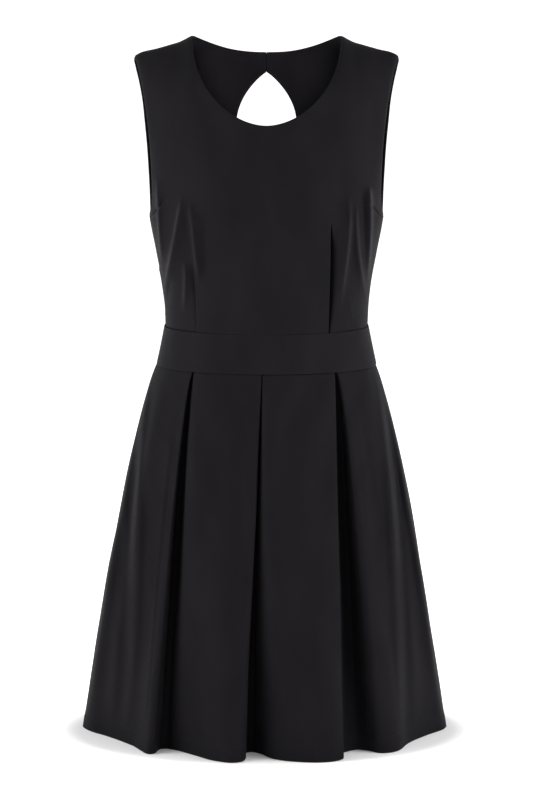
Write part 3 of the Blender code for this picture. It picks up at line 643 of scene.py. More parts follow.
def fold_along(points, row):
    """Height of a fold of the front bodice, with unlike flanks on the two sides of its line, and the painted highlight
    along the line of a sharp fold.
    """
    line = curve3(row[0:2], row[2:4], row[4:6], 160)
    down = -points[:, 2]
    away = (points[:, 0] - np.interp(down, -line[:, 1], line[:, 0])) * np.sign(row[2])
    share = np.interp(down, -line[:, 1], np.linspace(0, 1, len(line)))
    height, inner, outer, ends = row[6:10]
    across_it = np.where(away < 0, np.exp(-np.abs(away / inner) ** 1.3), np.exp(-np.abs(away / outer) ** 1.6))
    near = np.clip(np.minimum(share, 1 - share) / ends, 0, 1)
    near = near * near * (3 - 2 * near)
    # painted highlight: the colour is made lighter along a sharp fold's line
    painted_crest_highlight = CREST_HIGHLIGHT * height * near * np.exp(-((away - 0.0014) / 0.0015) ** 2) if height > 0 and outer < 0.004 else 0 * away
    return height * across_it * near, painted_crest_highlight


def boundary_of(faces):
    """Directed border edges of a mesh of quads."""
    edges = np.concatenate([faces[:, [k, (k + 1) % 4]] for k in range(4)])
    seen = set(map(tuple, edges.tolist()))
    return [(a, b) for a, b in seen if (b, a) not in seen]


def edge_distance(points, spots):
    """Distance of each point to the nearest of the spots."""
    if not len(spots):
        return np.full(len(points), 1.0)
    tree = tree_of(spots)
    return np.array([tree.find(Vector(p))[2] for p in points])


def dense(spots, edges):
    """Points along border edges, close together."""
    out = []
    for a, b in edges:
        n = max(1, int(np.linalg.norm(spots[a] - spots[b]) / 0.0006))
        for k in range(n):
            out.append(spots[a] + (spots[b] - spots[a]) * k / n)
    return np.array(out) if out else np.zeros((0, 3))


def wall(points, faces, normals, thick, bulge, steps=4):
    """Closed wall round an open sheet, with a rounded rim that stands bulge proud of the border."""
    n = len(points)
    border = boundary_of(faces)
    out_way = {}
    for a, b in border:
        way = np.cross(points[b] - points[a], normals[a] + normals[b])
        way /= max(np.linalg.norm(way), 1e-12)
        for v in (a, b):
            out_way[v] = out_way.get(v, 0) + way
    half = thick / 2
    outer = points + normals * half[:, None]
    inner = points - normals * half[:, None]
    verts = [outer, inner]
    rim = {}
    count = 2 * n
    extra = []
    source = list(range(n)) + list(range(n))
    for v, way in out_way.items():
        way = way - normals[v] * np.dot(way, normals[v])
        way /= max(np.linalg.norm(way), 1e-12)
        chain = [v]
        for k in range(1, steps):
            angle = math.pi * k / steps
            full = math.sin(angle) ** (0.3 if bulge[v] < 0.00055 else 1.0)     # blunt where it meets another edge
            extra.append(points[v] + normals[v] * half[v] * math.cos(angle) + way * bulge[v] * full)
            chain.append(count)
            source.append(v)
            count += 1
        chain.append(n + v)
        rim[v] = chain
    polys = [tuple(f) for f in faces.tolist()] + [tuple(i + n for i in f[::-1]) for f in faces.tolist()]
    for a, b in border:
        for k in range(steps):
            polys.append((rim[b][k], rim[a][k], rim[a][k + 1], rim[b][k + 1]))
    return np.vstack(verts + [np.array(extra)]), polys, np.array(source)


def cloth(name, points, faces, flats, thick, bulge, edge, mat, nodes, inside=1.0):
    """Finished piece of cloth from its sheet, riding on the dress in place of its CAD node."""
    normals = normals_of(points, faces)
    verts, polys, source = wall(points, faces, normals, thick, bulge)
    mesh = bpy.data.meshes.new(name)
    mesh.from_pydata(verts.tolist(), [], polys)
    layer = mesh.uv_layers.new(name="cloth")
    corners = np.zeros(len(mesh.loops), np.int32)
    mesh.loops.foreach_get("vertex_index", corners)
    layer.data.foreach_set("uv", flats[source][corners].ravel())
    # edges lighter from wear, and a painted highlight along sharp folds
    wear_and_highlight = mesh.attributes.new("edge", "FLOAT", "POINT")
    wear_and_highlight.data.foreach_set("value", edge[source].astype(np.float32))
    # painted light and shade of the inner faces: 0 outside, the given value inside, 0.1 on the rims
    inward = mesh.attributes.new("inner_painted_light_and_shade", "FLOAT", "POINT")
    n = len(points)
    values = np.concatenate([np.zeros(n), np.zeros(n) + inside, np.full(len(source) - 2 * n, 0.1)])
    inward.data.foreach_set("value", values.astype(np.float32))
    mesh.materials.append(mat)
    mesh.shade_smooth()
    mesh.update()
    obj = bpy.data.objects.new(name, mesh)
    bpy.context.scene.collection.objects.link(obj)
    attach(obj, "root")
    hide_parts(*nodes)
    return obj, normals


# ---------------------------------------------------------------- materials
def node(tree, kind, place=(0, 0), **values):
    made = tree.nodes.new(kind)
    made.location = place
    for key, value in values.items():
        setattr(made, key, value)
    return made


def crepe(name, colour, rough=0.64, sheen=0.015, level=0.029, weave=1.0):
    """Black stretch crepe: two crossed sets of fine threads, a pebbly grain over them, faint slubs
    and cloudy variation of depth, edges a little lighter from wear, a painted highlight along sharp folds, and painted
    light and shade on the inner faces."""
    mat = bpy.data.materials.new(name)
    mat.use_nodes = True
    tree = mat.node_tree
    shader = tree.nodes["Principled BSDF"]
    shader.inputs["Metallic"].default_value = 0.0
    shader.inputs["Specular IOR Level"].default_value = level
    shader.inputs["Sheen Weight"].default_value = sheen
    shader.inputs["Sheen Roughness"].default_value = 0.42
    shader.inputs["Sheen Tint"].default_value = (0.86, 0.84, 0.90, 1)
    uv = node(tree, "ShaderNodeUVMap", (-1500, 0), uv_map="cloth")
    threads = []
    for axis, pitch, y in ((0, 0.00052, 200), (1, 0.00046, 0)):
        turned = node(tree, "ShaderNodeMapping", (-1300, y))
        turned.inputs["Rotation"].default_value[2] = math.pi / 2 * axis
        wave = node(tree, "ShaderNodeTexWave", (-1100, y), wave_type="BANDS", bands_direction="X")
        wave.inputs["Scale"].default_value = 1 / pitch / 3.14159 / 2 * 0.999
        wave.inputs["Distortion"].default_value = 1.6
        wave.inputs["Detail"].default_value = 1.0
        wave.inputs["Detail Scale"].default_value = 1.3
        tree.links.new(uv.outputs["UV"], turned.inputs["Vector"])
        tree.links.new(turned.outputs["Vector"], wave.inputs["Vector"])
        threads.append(wave)
    grain = node(tree, "ShaderNodeTexNoise", (-1100, -250))
    grain.inputs["Scale"].default_value = 1500
    grain.inputs["Detail"].default_value = 3.0
    grain.inputs["Roughness"].default_value = 0.6
    slub = node(tree, "ShaderNodeTexNoise", (-1100, -500))
    slub.inputs["Scale"].default_value = 240
    slub.inputs["Detail"].default_value = 2.0
    cloud = node(tree, "ShaderNodeTexNoise", (-1100, -750))
    cloud.inputs["Scale"].default_value = 26
    cloud.inputs["Detail"].default_value = 3.0
    stretched = node(tree, "ShaderNodeMapping", (-1300, -750))
    stretched.inputs["Scale"].default_value = (1.0, 0.35, 1.0)
    tree.links.new(uv.outputs["UV"], stretched.inputs["Vector"])
    tree.links.new(stretched.outputs["Vector"], cloud.inputs["Vector"])
    for n in (grain, slub):
        tree.links.new(uv.outputs["UV"], n.inputs["Vector"])
    both = node(tree, "ShaderNodeMath", (-900, 100), operation="MAXIMUM")
    tree.links.new(threads[0].outputs["Fac"], both.inputs[0])
    tree.links.new(threads[1].outputs["Fac"], both.inputs[1])
    relief = node(tree, "ShaderNodeMath", (-700, 0), operation="MULTIPLY_ADD")
    relief.inputs[1].default_value = 0.8
    tree.links.new(grain.outputs["Fac"], relief.inputs[0])
    tree.links.new(both.outputs[0], relief.inputs[2])
    relief_2 = node(tree, "ShaderNodeMath", (-500, 0), operation="MULTIPLY_ADD")
    relief_2.inputs[1].default_value = 0.6
    tree.links.new(slub.outputs["Fac"], relief_2.inputs[0])
    tree.links.new(relief.outputs[0], relief_2.inputs[2])
    bump = node(tree, "ShaderNodeBump", (-300, -200))
    bump.inputs["Strength"].default_value = 0.55 * weave
    bump.inputs["Distance"].default_value = 0.00012
    tree.links.new(relief_2.outputs[0], bump.inputs["Height"])
    tree.links.new(bump.outputs["Normal"], shader.inputs["Normal"])
    # colour: cloudy depth of dye, thread by thread shade, edges lighter from wear with a painted highlight along sharp
    # folds, and painted light and shade on the inner faces
    dye = node(tree, "ShaderNodeMapRange", (-900, -750))
    dye.inputs["From Min"].default_value = 0.3
    dye.inputs["From Max"].default_value = 0.7
    dye.inputs["To Min"].default_value = 0.84
    dye.inputs["To Max"].default_value = 1.16
    tree.links.new(cloud.outputs["Fac"], dye.inputs["Value"])
    yarn = node(tree, "ShaderNodeMapRange", (-700, -350))
    yarn.inputs["From Min"].default_value = 0.2
    yarn.inputs["From Max"].default_value = 1.9
    yarn.inputs["To Min"].default_value = 0.72
    yarn.inputs["To Max"].default_value = 1.18
    tree.links.new(relief.outputs[0], yarn.inputs["Value"])
    depth = node(tree, "ShaderNodeMath", (-500, -450), operation="MULTIPLY")
    tree.links.new(dye.outputs["Result"], depth.inputs[0])
    tree.links.new(yarn.outputs["Result"], depth.inputs[1])
    # edges lighter from wear, and a painted highlight along sharp folds
    wear_and_highlight = node(tree, "ShaderNodeAttribute", (-900, -1000), attribute_name="edge")
    wear_and_highlight_gain = node(tree, "ShaderNodeMath", (-500, -700), operation="MULTIPLY_ADD")
    wear_and_highlight_gain.inputs[1].default_value = 0.08
    tree.links.new(wear_and_highlight.outputs["Fac"], wear_and_highlight_gain.inputs[0])
    # painted light: the inner faces are made lighter; painted shade: darker behind the front neckline
    inner = node(tree, "ShaderNodeAttribute", (-1100, -1200), attribute_name="inner_painted_light_and_shade")
    inner_light_and_shade = node(tree, "ShaderNodeMath", (-700, -1200), operation="MULTIPLY_ADD")
    inner_light_and_shade.inputs[1].default_value = 1.25
    inner_light_and_shade.inputs[2].default_value = 1.0
    tree.links.new(inner.outputs["Fac"], inner_light_and_shade.inputs[0])
    tree.links.new(inner_light_and_shade.outputs[0], wear_and_highlight_gain.inputs[2])
    shade = node(tree, "ShaderNodeMath", (-300, -550), operation="MULTIPLY")
    tree.links.new(depth.outputs[0], shade.inputs[0])
    tree.links.new(wear_and_highlight_gain.outputs[0], shade.inputs[1])
    tint = node(tree, "ShaderNodeVectorMath", (-150, -450), operation="SCALE")
    tint.inputs[0].default_value = colour
    tree.links.new(shade.outputs[0], tint.inputs["Scale"])
    tree.links.new(tint.outputs["Vector"], shader.inputs["Base Color"])
    matt = node(tree, "ShaderNodeMapRange", (-300, -850))
    matt.inputs["From Min"].default_value = 0.3
    matt.inputs["From Max"].default_value = 0.7
    matt.inputs["To Min"].default_value = rough - 0.05
    matt.inputs["To Max"].default_value = rough + 0.06
    tree.links.new(slub.outputs["Fac"], matt.inputs["Value"])
    tree.links.new(matt.outputs["Result"], shader.inputs["Roughness"])
    return mat


def thread(name, colour, twist=0.0007):
    """Twisted polyester thread: fine slanting plies and a low gloss."""
    mat = bpy.data.materials.new(name)
    mat.use_nodes = True
    tree = mat.node_tree
    shader = tree.nodes["Principled BSDF"]
    shader.inputs["Specular IOR Level"].default_value = 0.10
    shader.inputs["Sheen Weight"].default_value = 0.02
    where = node(tree, "ShaderNodeTexCoord", (-1000, 0))
    turned = node(tree, "ShaderNodeMapping", (-800, 0))
    turned.inputs["Rotation"].default_value = (0.4, 0.7, 0.5)
    wave = node(tree, "ShaderNodeTexWave", (-600, 0), wave_type="BANDS", bands_direction="DIAGONAL")
    wave.inputs["Scale"].default_value = 1 / twist / 6.28
    fuzz = node(tree, "ShaderNodeTexNoise", (-600, -250))
    fuzz.inputs["Scale"].default_value = 3000
    tree.links.new(where.outputs["Object"], turned.inputs["Vector"])
    tree.links.new(turned.outputs["Vector"], wave.inputs["Vector"])
    tree.links.new(where.outputs["Object"], fuzz.inputs["Vector"])
    bump = node(tree, "ShaderNodeBump", (-300, -200))
    bump.inputs["Strength"].default_value = 0.6
    bump.inputs["Distance"].default_value = 0.0001
    tree.links.new(wave.outputs["Fac"], bump.inputs["Height"])
    tree.links.new(bump.outputs["Normal"], shader.inputs["Normal"])
    shade = node(tree, "ShaderNodeMapRange", (-300, 0))
    shade.inputs["To Min"].default_value = 0.75
    shade.inputs["To Max"].default_value = 1.2
    tree.links.new(wave.outputs["Fac"], shade.inputs["Value"])
    tint = node(tree, "ShaderNodeVectorMath", (-150, 0), operation="SCALE")
    tint.inputs[0].default_value = colour
    tree.links.new(shade.outputs["Result"], tint.inputs["Scale"])
    tree.links.new(tint.outputs["Vector"], shader.inputs["Base Color"])
    matt = node(tree, "ShaderNodeMapRange", (-300, -450))
    matt.inputs["To Min"].default_value = 0.45
    matt.inputs["To Max"].default_value = 0.62
    tree.links.new(fuzz.outputs["Fac"], matt.inputs["Value"])
    tree.links.new(matt.outputs["Result"], shader.inputs["Roughness"])
    return mat


BLACK = (0.0073, 0.0066, 0.0078)
cloth_black = crepe("black_crepe", BLACK)
band_black = crepe("black_crepe_band", (0.0075, 0.0068, 0.0080), rough=0.60)
button_black = crepe("button_cloth", (0.0068, 0.0064, 0.0073), rough=0.5, level=0.12)
thread_black = thread("sewing_thread", (0.0062, 0.0060, 0.0066))
loop_black = thread("loop_thread", (0.0075, 0.0072, 0.0080))


# ---------------------------------------------------------------- bodice front and back
def finish_bodice(name, side, rows, tucks, shape, nodes):
    points, faces, flats = whole_bodice(side, rows, tucks)
    rest = points.copy()
    border = boundary_of(faces)
    seam_edges, free_edges = [], []
    half_at = through(BODICE, rest[:, 2], 1 if side < 0 else 2)
    for a, b in border:
        m = (rest[a] + rest[b]) / 2
        waist = abs(m[2] - Z_WAIST) < 1e-5
        side_seam = m[2] < Z_UNDERARM + 1e-6 and abs(abs(m[0]) - through(BODICE, m[2], 1)) < 0.0008
        shoulder = abs(m[2] - through(SHOULDER, abs(m[0]), 1)) < 0.0006 and NECK_HALF - 1e-4 < abs(m[0]) < TIP_HALF + 1e-4 and abs(m[1]) < 0.004
        (seam_edges if waist or side_seam or shoulder else free_edges).append((a, b))
    seam = edge_distance(rest, dense(rest, seam_edges))
    free = edge_distance(rest, dense(rest, free_edges))
    normals = normals_of(points, faces)
    move, slide, wear_and_highlight = shape(rest, normals)
    points = points + normals * move[:, None] + slide
    drawn = 0.00003 + 0.00034 * np.clip((np.abs(rest[:, 0]) - 0.04) / 0.06, 0, 1)
    points -= normals * (drawn * np.exp(-(seam / 0.0012) ** 2))[:, None]
    # a free edge rolls inwards a little where its allowance is turned in
    points -= normals * (0.0006 * np.exp(-(free / 0.0020) ** 2))[:, None]
    thick = CLOTH + EDGE_TURN * np.exp(-(free / 0.009) ** 2) * np.clip(seam / 0.004, 0, 1)
    bulge = np.where(free < seam, thick / 2, 0.0002)
    slit = (np.abs(rest[:, 0]) < 1.05 * SLIT_HALF) & (rest[:, 2] > KEYHOLE_TOP - 0.001) & (side > 0)
    bulge = np.where(slit, SLIT_HALF, bulge)         # the two edges of the slit meet
    # edges lighter from wear, joined by the painted highlight along sharp folds
    edge = np.maximum(np.exp(-(np.minimum(free, seam) / 0.0022) ** 2), wear_and_highlight)
    # painted light: the inner faces are painted lighter
    inside = np.ones(len(rest))
    if side > 0:
        # painted shade: inside the back the colour is made darker close behind the front neckline
        line = np.array([neckline(s, -1) for s in np.linspace(0, 1, 200)])
        order = np.argsort(line[:, 1])
        up = rest[:, 2] + BACK_DROP
        near = np.array([np.hypot(line[:, 0] - x, line[:, 1] - z).min() for x, z in zip(np.abs(rest[:, 0]), up)])
        near = np.where(np.abs(rest[:, 0]) < np.interp(up, line[order, 1], line[order, 0]), near, 0)
        hand = (rest[:, 0] > 0).astype(float)
        neck_shade = (0.80 + 0.10 * hand) * np.exp(-(near / (0.0140 + 0.0100 * hand)) ** 1.2)
        inside = (2.25 * (1 - neck_shade) - 1) / 1.25
    return cloth(name, points, faces, flats, thick, bulge, edge, cloth_black, nodes, inside)


def unevenness(rest, size, seed):
    """Slow, slight waves, longer down the cloth than across it."""
    a = 90 * rest[:, 0] + 14 * rest[:, 2] + seed
    b = 47 * rest[:, 0] - 23 * rest[:, 2] + 1.7 * seed
    c = 140 * rest[:, 0] + 31 * rest[:, 2] + 2.9 * seed
    return size * (np.sin(a) * 0.5 + np.sin(b) * 0.35 + np.sin(c) * np.sin(b * 0.6) * 0.3)


def front_shape(rest, normals):
    move = np.zeros(len(rest))
    slide = np.zeros_like(rest)
    wear_and_highlight = np.zeros(len(rest))
    # each sharp fold brings a painted highlight along its line as well
    for row in FRONT_CREASES:
        out, painted_crest_highlight = fold_along(rest, row)
        slide[:, 1] -= out
        wear_and_highlight = np.maximum(wear_and_highlight, painted_crest_highlight)
    for row in DARTS:
        line = on_bodice(row, -1, 1)
        distance, share, _ = to_line(rest, line)
        fade = np.clip((1 - share) / 0.35, 0, 1) ** 0.7
        move -= row[7] * np.exp(-(distance / row[8]) ** 2) * fade
        move += 0.12 * row[7] * np.exp(-((distance - 2.6 * row[8]) / (1.5 * row[8])) ** 2) * fade
    for row in TUCKS:
        line = on_bodice(row, -1, 1)
        distance, share, offset = to_line(rest, line)
        away = np.sign((offset[:, 0]) * row[9]) * distance
        depth, width, steep = row[7], row[8], row[10]
        if steep:
            # widest halfway down, drawn shut again at the seam
            open_here = np.interp(share, (0.0, 0.08, 0.20, 0.32, 0.48, 0.62, 0.74, 0.86, 0.93, 1.0), (0.0, 0.12, 0.50, 0.90, 1.0, 0.98, 0.84, 0.52, 0.30, 0.08))
            reach = width * (0.22 + 0.78 * open_here)
            drop = step_up((away - 0.0004) / 0.00022)
            move -= depth * np.sqrt(open_here) * drop * np.exp(-np.abs(away / reach) ** 2.6) * np.clip(share / 0.05, 0, 1)
            # a shallow hollow in the cloth beyond the opening, higher up than the opening itself
            shade = np.interp(share, (0.0, 0.12, 0.35, 0.6, 0.85), (0.0, 0.9, 1.0, 0.35, 0.0))
            move -= 0.0016 * shade * np.exp(-((away - 0.0060) / 0.0046) ** 2) * (away > 0)
        else:
            open_here = np.clip(share / 0.72, 0, 1) ** 1.5 * (1 - 0.62 * np.clip((share - 0.72) / 0.28, 0, 1) ** 1.4)
            open_here = np.where(share <= 0, 0, open_here)
            reach = width * (0.35 + 0.65 * open_here)
            drop = step_up((away - 0.0009) / 0.00042)
            back = 1 / (1 + np.exp(-(away - reach) / (0.0009 + 0.35 * reach)))
            move -= depth * open_here * drop * (1 - back)
        # the fold's edge stands proud of the cloth behind it
        lip = np.exp(-(np.minimum(away, 0) / 0.006) ** 2) * (away < 0.0009)
        move += (0.0006 if steep else 0.0004) * open_here * lip
        slide[:, 0] += row[9] * 0.0005 * open_here * min(1, depth / 0.006) * np.exp(-((away + 0.0002) / 0.0012) ** 2)
    move += unevenness(rest, 0.00035, 0.4)
    return move, slide, wear_and_highlight


def back_shape(rest, normals):
    move = np.zeros(len(rest))
    for k, row in enumerate(BACK_CREASES):
        move += crease(rest, on_bodice(row, 1, 0), row[6], row[7], row[8], 0.5)
        other = tuple(-v * (1 + 0.02 * k) if i % 2 == 0 else v - 0.004 * k for i, v in enumerate(row[:6]))
        move += crease(rest, on_bodice(other, 1, 0), row[6] * (1 - 0.08 * k), row[7], row[8], 0.5)
    move += unevenness(rest, 0.00035, 2.1)
    return move, np.zeros_like(rest), 0


bodice_front, _ = finish_bodice("bodice_front_cloth", -1, fine_rows(FRONT_ROWS, -1, 0.0009), (TUCKS[0], TUCKS[1]), front_shape, ["bodice_front"])
bodice_back, _ = finish_bodice("bodice_back_cloth", 1, fine_rows(BACK_ROWS, 1, 0.0009), (None, None), back_shape, ["bodice_back"])


# ---------------------------------------------------------------- waistband
def finish_band(name, side, nodes):
    length = Z_WAIST - Z_BASQUE
    shares = np.unique(np.concatenate([np.linspace(0, 1, 25), [0.018, 0.036, 0.054, 0.946, 0.964, 0.982]]))
    points, faces, flats = grid_sheet(band_grid(side, shares), side, None)
    normals = normals_of(points, faces)
    ends = np.minimum(Z_WAIST - points[:, 2], points[:, 2] - Z_BASQUE)
    half = through(BAND, (Z_WAIST - points[:, 2]) / length, 1)
    sides = np.abs(np.abs(points[:, 0]) - half) + np.abs(points[:, 1]) * 0.6
    seam = np.maximum(ends, 0)
    drawn = 0.00003 + 0.00030 * np.clip((np.abs(points[:, 0]) - 0.04) / 0.06, 0, 1)
    move = -drawn * np.exp(-(seam / 0.0011) ** 2) - 0.0006 * np.exp(-(sides / 0.0016) ** 2)
    move += unevenness(points, 0.00030, 3.3 + side)
    points = points + normals * move[:, None]
    thick = np.full(len(points), BAND_CLOTH - 0.0003)
    bulge = np.full(len(points), 0.0002)
    edge = np.exp(-(np.minimum(seam, sides) / 0.0020) ** 2)
    return cloth(name, points, faces, flats, thick, bulge, edge, band_black, nodes)


band_front, _ = finish_band("waistband_front_cloth", -1, ["waistband_front"])
band_back, _ = finish_band("waistband_back_cloth", 1, ["waistband_back"])


# ---------------------------------------------------------------- skirts
SKIRT_LENGTH = Z_BASQUE - SEAM - Z_HEM


def skirt_shares():
    out = [0.0, 0.0020, 0.0042, 0.0070, 0.0110]
    while out[-1] < 1 - (HEM_TURN + 0.004) / SKIRT_LENGTH:
        out.append(out[-1] + 0.0094)
    out = out[:-1]
    rest = [0.0235, HEM_TURN + 0.0015] + [HEM_ROWS[1] + 0.0008, HEM_ROWS[1], HEM_ROWS[1] - 0.0008, HEM_ROWS[0] + 0.0008,
            HEM_ROWS[0], HEM_ROWS[0] - 0.0008] + [0.0125, 0.0098, 0.0072, 0.0048, 0.0028, 0.0012, 0.0]
    out = [t for t in out if t < 1 - 0.026 / SKIRT_LENGTH]
    return np.array(out + [1 - h / SKIRT_LENGTH for h in sorted(set(rest), reverse=True)])


def finish_skirt(name, side, folds, creases, cuts, nodes):
    shares = skirt_shares()
    grid = skirt_grid(side, folds, cuts, shares)
    n_rows, n_cols = grid.shape[:2]
    arc = np.concatenate([np.zeros((n_rows, 1)), np.linalg.norm(np.diff(grid, axis=1), axis=2).cumsum(axis=1)], axis=1)
    fold = np.arange(n_cols) / cuts - 1
    move = np.zeros((n_rows, n_cols))
    for top_fold, mid_fold, low_fold, start, end, height, width, crest in creases:
        for r, t in enumerate(shares):
            if start < t < end:
                s = (t - start) / (end - start)
                at = top_fold * (1 - s) * (1 - 2 * s) + mid_fold * 4 * s * (1 - s) + low_fold * s * (2 * s - 1)
                away = arc[r] - np.interp(at, fold, arc[r])
                if crest:
                    tip = 0.25 * width
                    across_it = np.exp(-(np.sqrt(away**2 + tip**2) - tip) / (0.70 * width))
                else:
                    across_it = np.exp(-(away / width) ** 2)
                move[r] += height * swell(np.array(s) ** 0.8, 0.6) * across_it
    points, faces, flats = grid_sheet(grid, side, None)
    rest = points.copy()
    t = np.repeat(shares, n_cols)
    below = (1 - t) * SKIRT_LENGTH           # height above the hem
    top = t * SKIRT_LENGTH
    ends = np.minimum(arc, arc[:, -1:] - arc).ravel()
    normals = normals_of(points, faces)
    # the soft folds stand out along Y, and flatten where the side seams hold them
    held_flat = np.clip(ends / 0.016, 0, 1)
    swells = move.ravel() * held_flat * held_flat * (3 - 2 * held_flat)
    move = unevenness(rest, 0.0007, 5.2 + side) * np.clip(t * 3, 0, 1)
    move -= 0.0005 * np.exp(-(top / 0.0012) ** 2) + 0.0006 * np.exp(-(ends / 0.0016) ** 2)
    for height in HEM_ROWS:
        move -= 0.00022 * np.exp(-((below - height) / 0.0006) ** 2)
    move += 0.00025 * step_up((HEM_ROWS[0] - below) / 0.0005)
    points = points + normals * move[:, None]
    points[:, 1] += side * swells
    thick = CLOTH - 0.0001 + 0.0005 / (1 + np.exp((below - HEM_TURN) / 0.0007))
    thick = thick * np.clip(0.7 + top / 0.02, 0.7, 1)
    bulge = np.where(below < 1e-6, thick / 2, 0.0002)
    edge = np.maximum(np.exp(-(below / 0.0022) ** 2), np.exp(-(np.minimum(top, ends) / 0.0018) ** 2))
    obj, normals = cloth(name, points, faces, flats, thick, bulge, edge, cloth_black, nodes)
    outer = (points + normals * (thick / 2)[:, None]).reshape(n_rows, n_cols, 3)
    rows = []
    for height in HEM_ROWS:
        r = int(np.argmin(np.abs((1 - shares) * SKIRT_LENGTH - height)))
        rows.append((outer[r], normals.reshape(n_rows, n_cols, 3)[r]))
    return obj, rows


skirt_front, front_hem = finish_skirt("skirt_front_cloth", -1, FRONT_FOLDS, SKIRT_FRONT_CREASES, 7, ["skirt_front"])
skirt_back, back_hem = finish_skirt("skirt_back_cloth", 1, both_halves(BACK_FOLDS), SKIRT_BACK_CREASES, 7, ["skirt_back"])


# ---------------------------------------------------------------- stitching, button and loop
def tube(centres, ups, radius, sides=6, ends=True):
    """Closed tube along points; ups gives a direction across it at each point, radius one number a point."""
    centres, ups = np.asarray(centres, float), np.asarray(ups, float)
    n = len(centres)
    tangents = np.gradient(centres, axis=0)
    tangents /= np.linalg.norm(tangents, axis=1)[:, None]
    a = ups - (ups * tangents).sum(axis=1)[:, None] * tangents
    a /= np.linalg.norm(a, axis=1)[:, None]
    b = np.cross(tangents, a)
    verts, faces = [], []
    for i in range(n):
        for k in range(sides):
            angle = 2 * math.pi * k / sides
            verts.append(centres[i] + radius[i] * (a[i] * math.cos(angle) + b[i] * math.sin(angle)))
    for i in range(n - 1):
        for k in range(sides):
            j = (k + 1) % sides
            faces.append((i * sides + k, i * sides + j, (i + 1) * sides + j, (i + 1) * sides + k))
    faces.append(tuple(range(sides))[::-1])
    faces.append(tuple((n - 1) * sides + k for k in range(sides)))
    return verts, faces


def piece(name, verts, faces, mat, nodes=(), smooth=True):
    mesh = bpy.data.meshes.new(name)
    mesh.from_pydata([tuple(v) for v in verts], [], faces)
    mesh.materials.append(mat)
    if smooth:
        mesh.shade_smooth()
    obj = bpy.data.objects.new(name, mesh)
    bpy.context.scene.collection.objects.link(obj)
    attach(obj, "root")
    if nodes:
        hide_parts(*nodes)
    return obj


def stitching(name, rows, offset):
    verts, faces = [], []
    for line, (points, normals) in enumerate(rows):
        run = np.concatenate([[0], np.linalg.norm(np.diff(points, axis=0), axis=1).cumsum()])
        at = 0.002 + offset * line
        while at + STITCH < run[-1] - 0.002:
            spots, ways = [], []
            for s in (0.0, 0.12, 0.5, 0.88, 1.0):
                d = at + STITCH * s
                p = np.array([np.interp(d, run, points[:, k]) for k in range(3)])
                n = np.array([np.interp(d, run, normals[:, k]) for k in range(3)])
                sink = (-0.00020, 0.00000, 0.00007, 0.00000, -0.00020)[(0.0, 0.12, 0.5, 0.88, 1.0).index(s)]
                spots.append(p + n * sink)
                ways.append(n)
            v, f = tube(spots, ways, [THREAD * 0.7, THREAD, THREAD, THREAD, THREAD * 0.7], 5)
            faces += [tuple(i + len(verts) for i in q) for q in f]
            verts += v
            at += STITCH + STITCH_GAP
    return piece(name, verts, faces, thread_black)


stitch_front = stitching("hem_stitching_front", front_hem, 0.0013)
stitch_back = stitching("hem_stitching_back", back_hem, 0.0011)

z_button = (Z_NECK_BACK + KEYHOLE_TOP) / 2
x_button = 0.0068


def back_y(x, z):
    return float(bodice_point(across(abs(x), z, 1), z, 1)[1])


tilt = math.atan2(back_y(0, z_button - 0.005) - back_y(0, z_button + 0.005), 0.010)
out = np.array((0.0, math.cos(tilt), math.sin(tilt)))
rise = np.array((0.0, -math.sin(tilt), math.cos(tilt)))
right = np.array((1.0, 0.0, 0.0))
seat = np.array((x_button, back_y(x_button, z_button) + CLOTH / 2 + 0.0004, z_button))

# covered button: a dome with its cloth drawn in under the rim
profile = ((0.0, 0.00335), (0.0012, 0.00331), (0.0024, 0.00314), (0.0035, 0.00272), (0.0043, 0.00212), (0.0048, 0.00145),
           (0.0050, 0.0009), (0.00485, 0.00045), (0.0042, 0.00018), (0.0030, 0.0001), (0.0, 0.0001))
verts, faces, spin = [], [], 40
for r, h in profile:
    if r == 0:
        verts.append(seat + out * h)
        continue
    for k in range(spin):
        angle = 2 * math.pi * k / spin
        pull = 1 + (0.012 * math.sin(angle * 9) if h < 0.001 else 0)
        verts.append(seat + out * h + (right * math.cos(angle) + rise * math.sin(angle)) * r * pull)
rings = len(profile) - 2
for k in range(spin):
    j = (k + 1) % spin
    faces.append((0, 1 + k, 1 + j))
    for i in range(rings - 1):
        a, b = 1 + i * spin, 1 + (i + 1) * spin
        faces.append((a + k, b + k, b + j, a + j))
    last = 1 + (rings - 1) * spin
    faces.append((last + k, len(verts) - 1, last + j))
button = piece("neck_button_covered", verts, [f[::-1] for f in faces], button_black, ["neck_button"])
layer = button.data.uv_layers.new(name="cloth")
for loop in button.data.loops:
    spot = np.array(button.data.vertices[loop.vertex_index].co) - seat
    layer.data[loop.index].uv = (float(spot @ right), float(spot @ rise))

# thread loop round the button, under its rim, with both ends drawn into the edge of the slit
around = BUTTON_RADIUS + LOOP_WIRE + 0.0002
path = [(-0.0022, 0.0019, -0.0004), (-0.0016, 0.0022, 0.0008), (0.0006, 0.0029, 0.0011)]
for k in range(31):
    angle = math.radians(128 - 256 * k / 30)
    path.append((x_button + around * math.cos(angle), around * math.sin(angle), 0.0011))
path += [(0.0006, -0.0029, 0.0011), (-0.0016, -0.0022, 0.0008), (-0.0022, -0.0019, -0.0004)]
centres, ups = [], []
for x, up, stand in path:
    z = z_button + up * math.cos(tilt)
    centres.append((x, back_y(x, z) + CLOTH / 2 + stand, z))
    ups.append(out)
v, f = tube(centres, ups, [LOOP_WIRE * (1 + 0.06 * math.sin(2.4 * i)) for i in range(len(centres))], 10)
loop_piece = piece("neck_loop_thread", v, f, loop_black, ["neck_loop"])


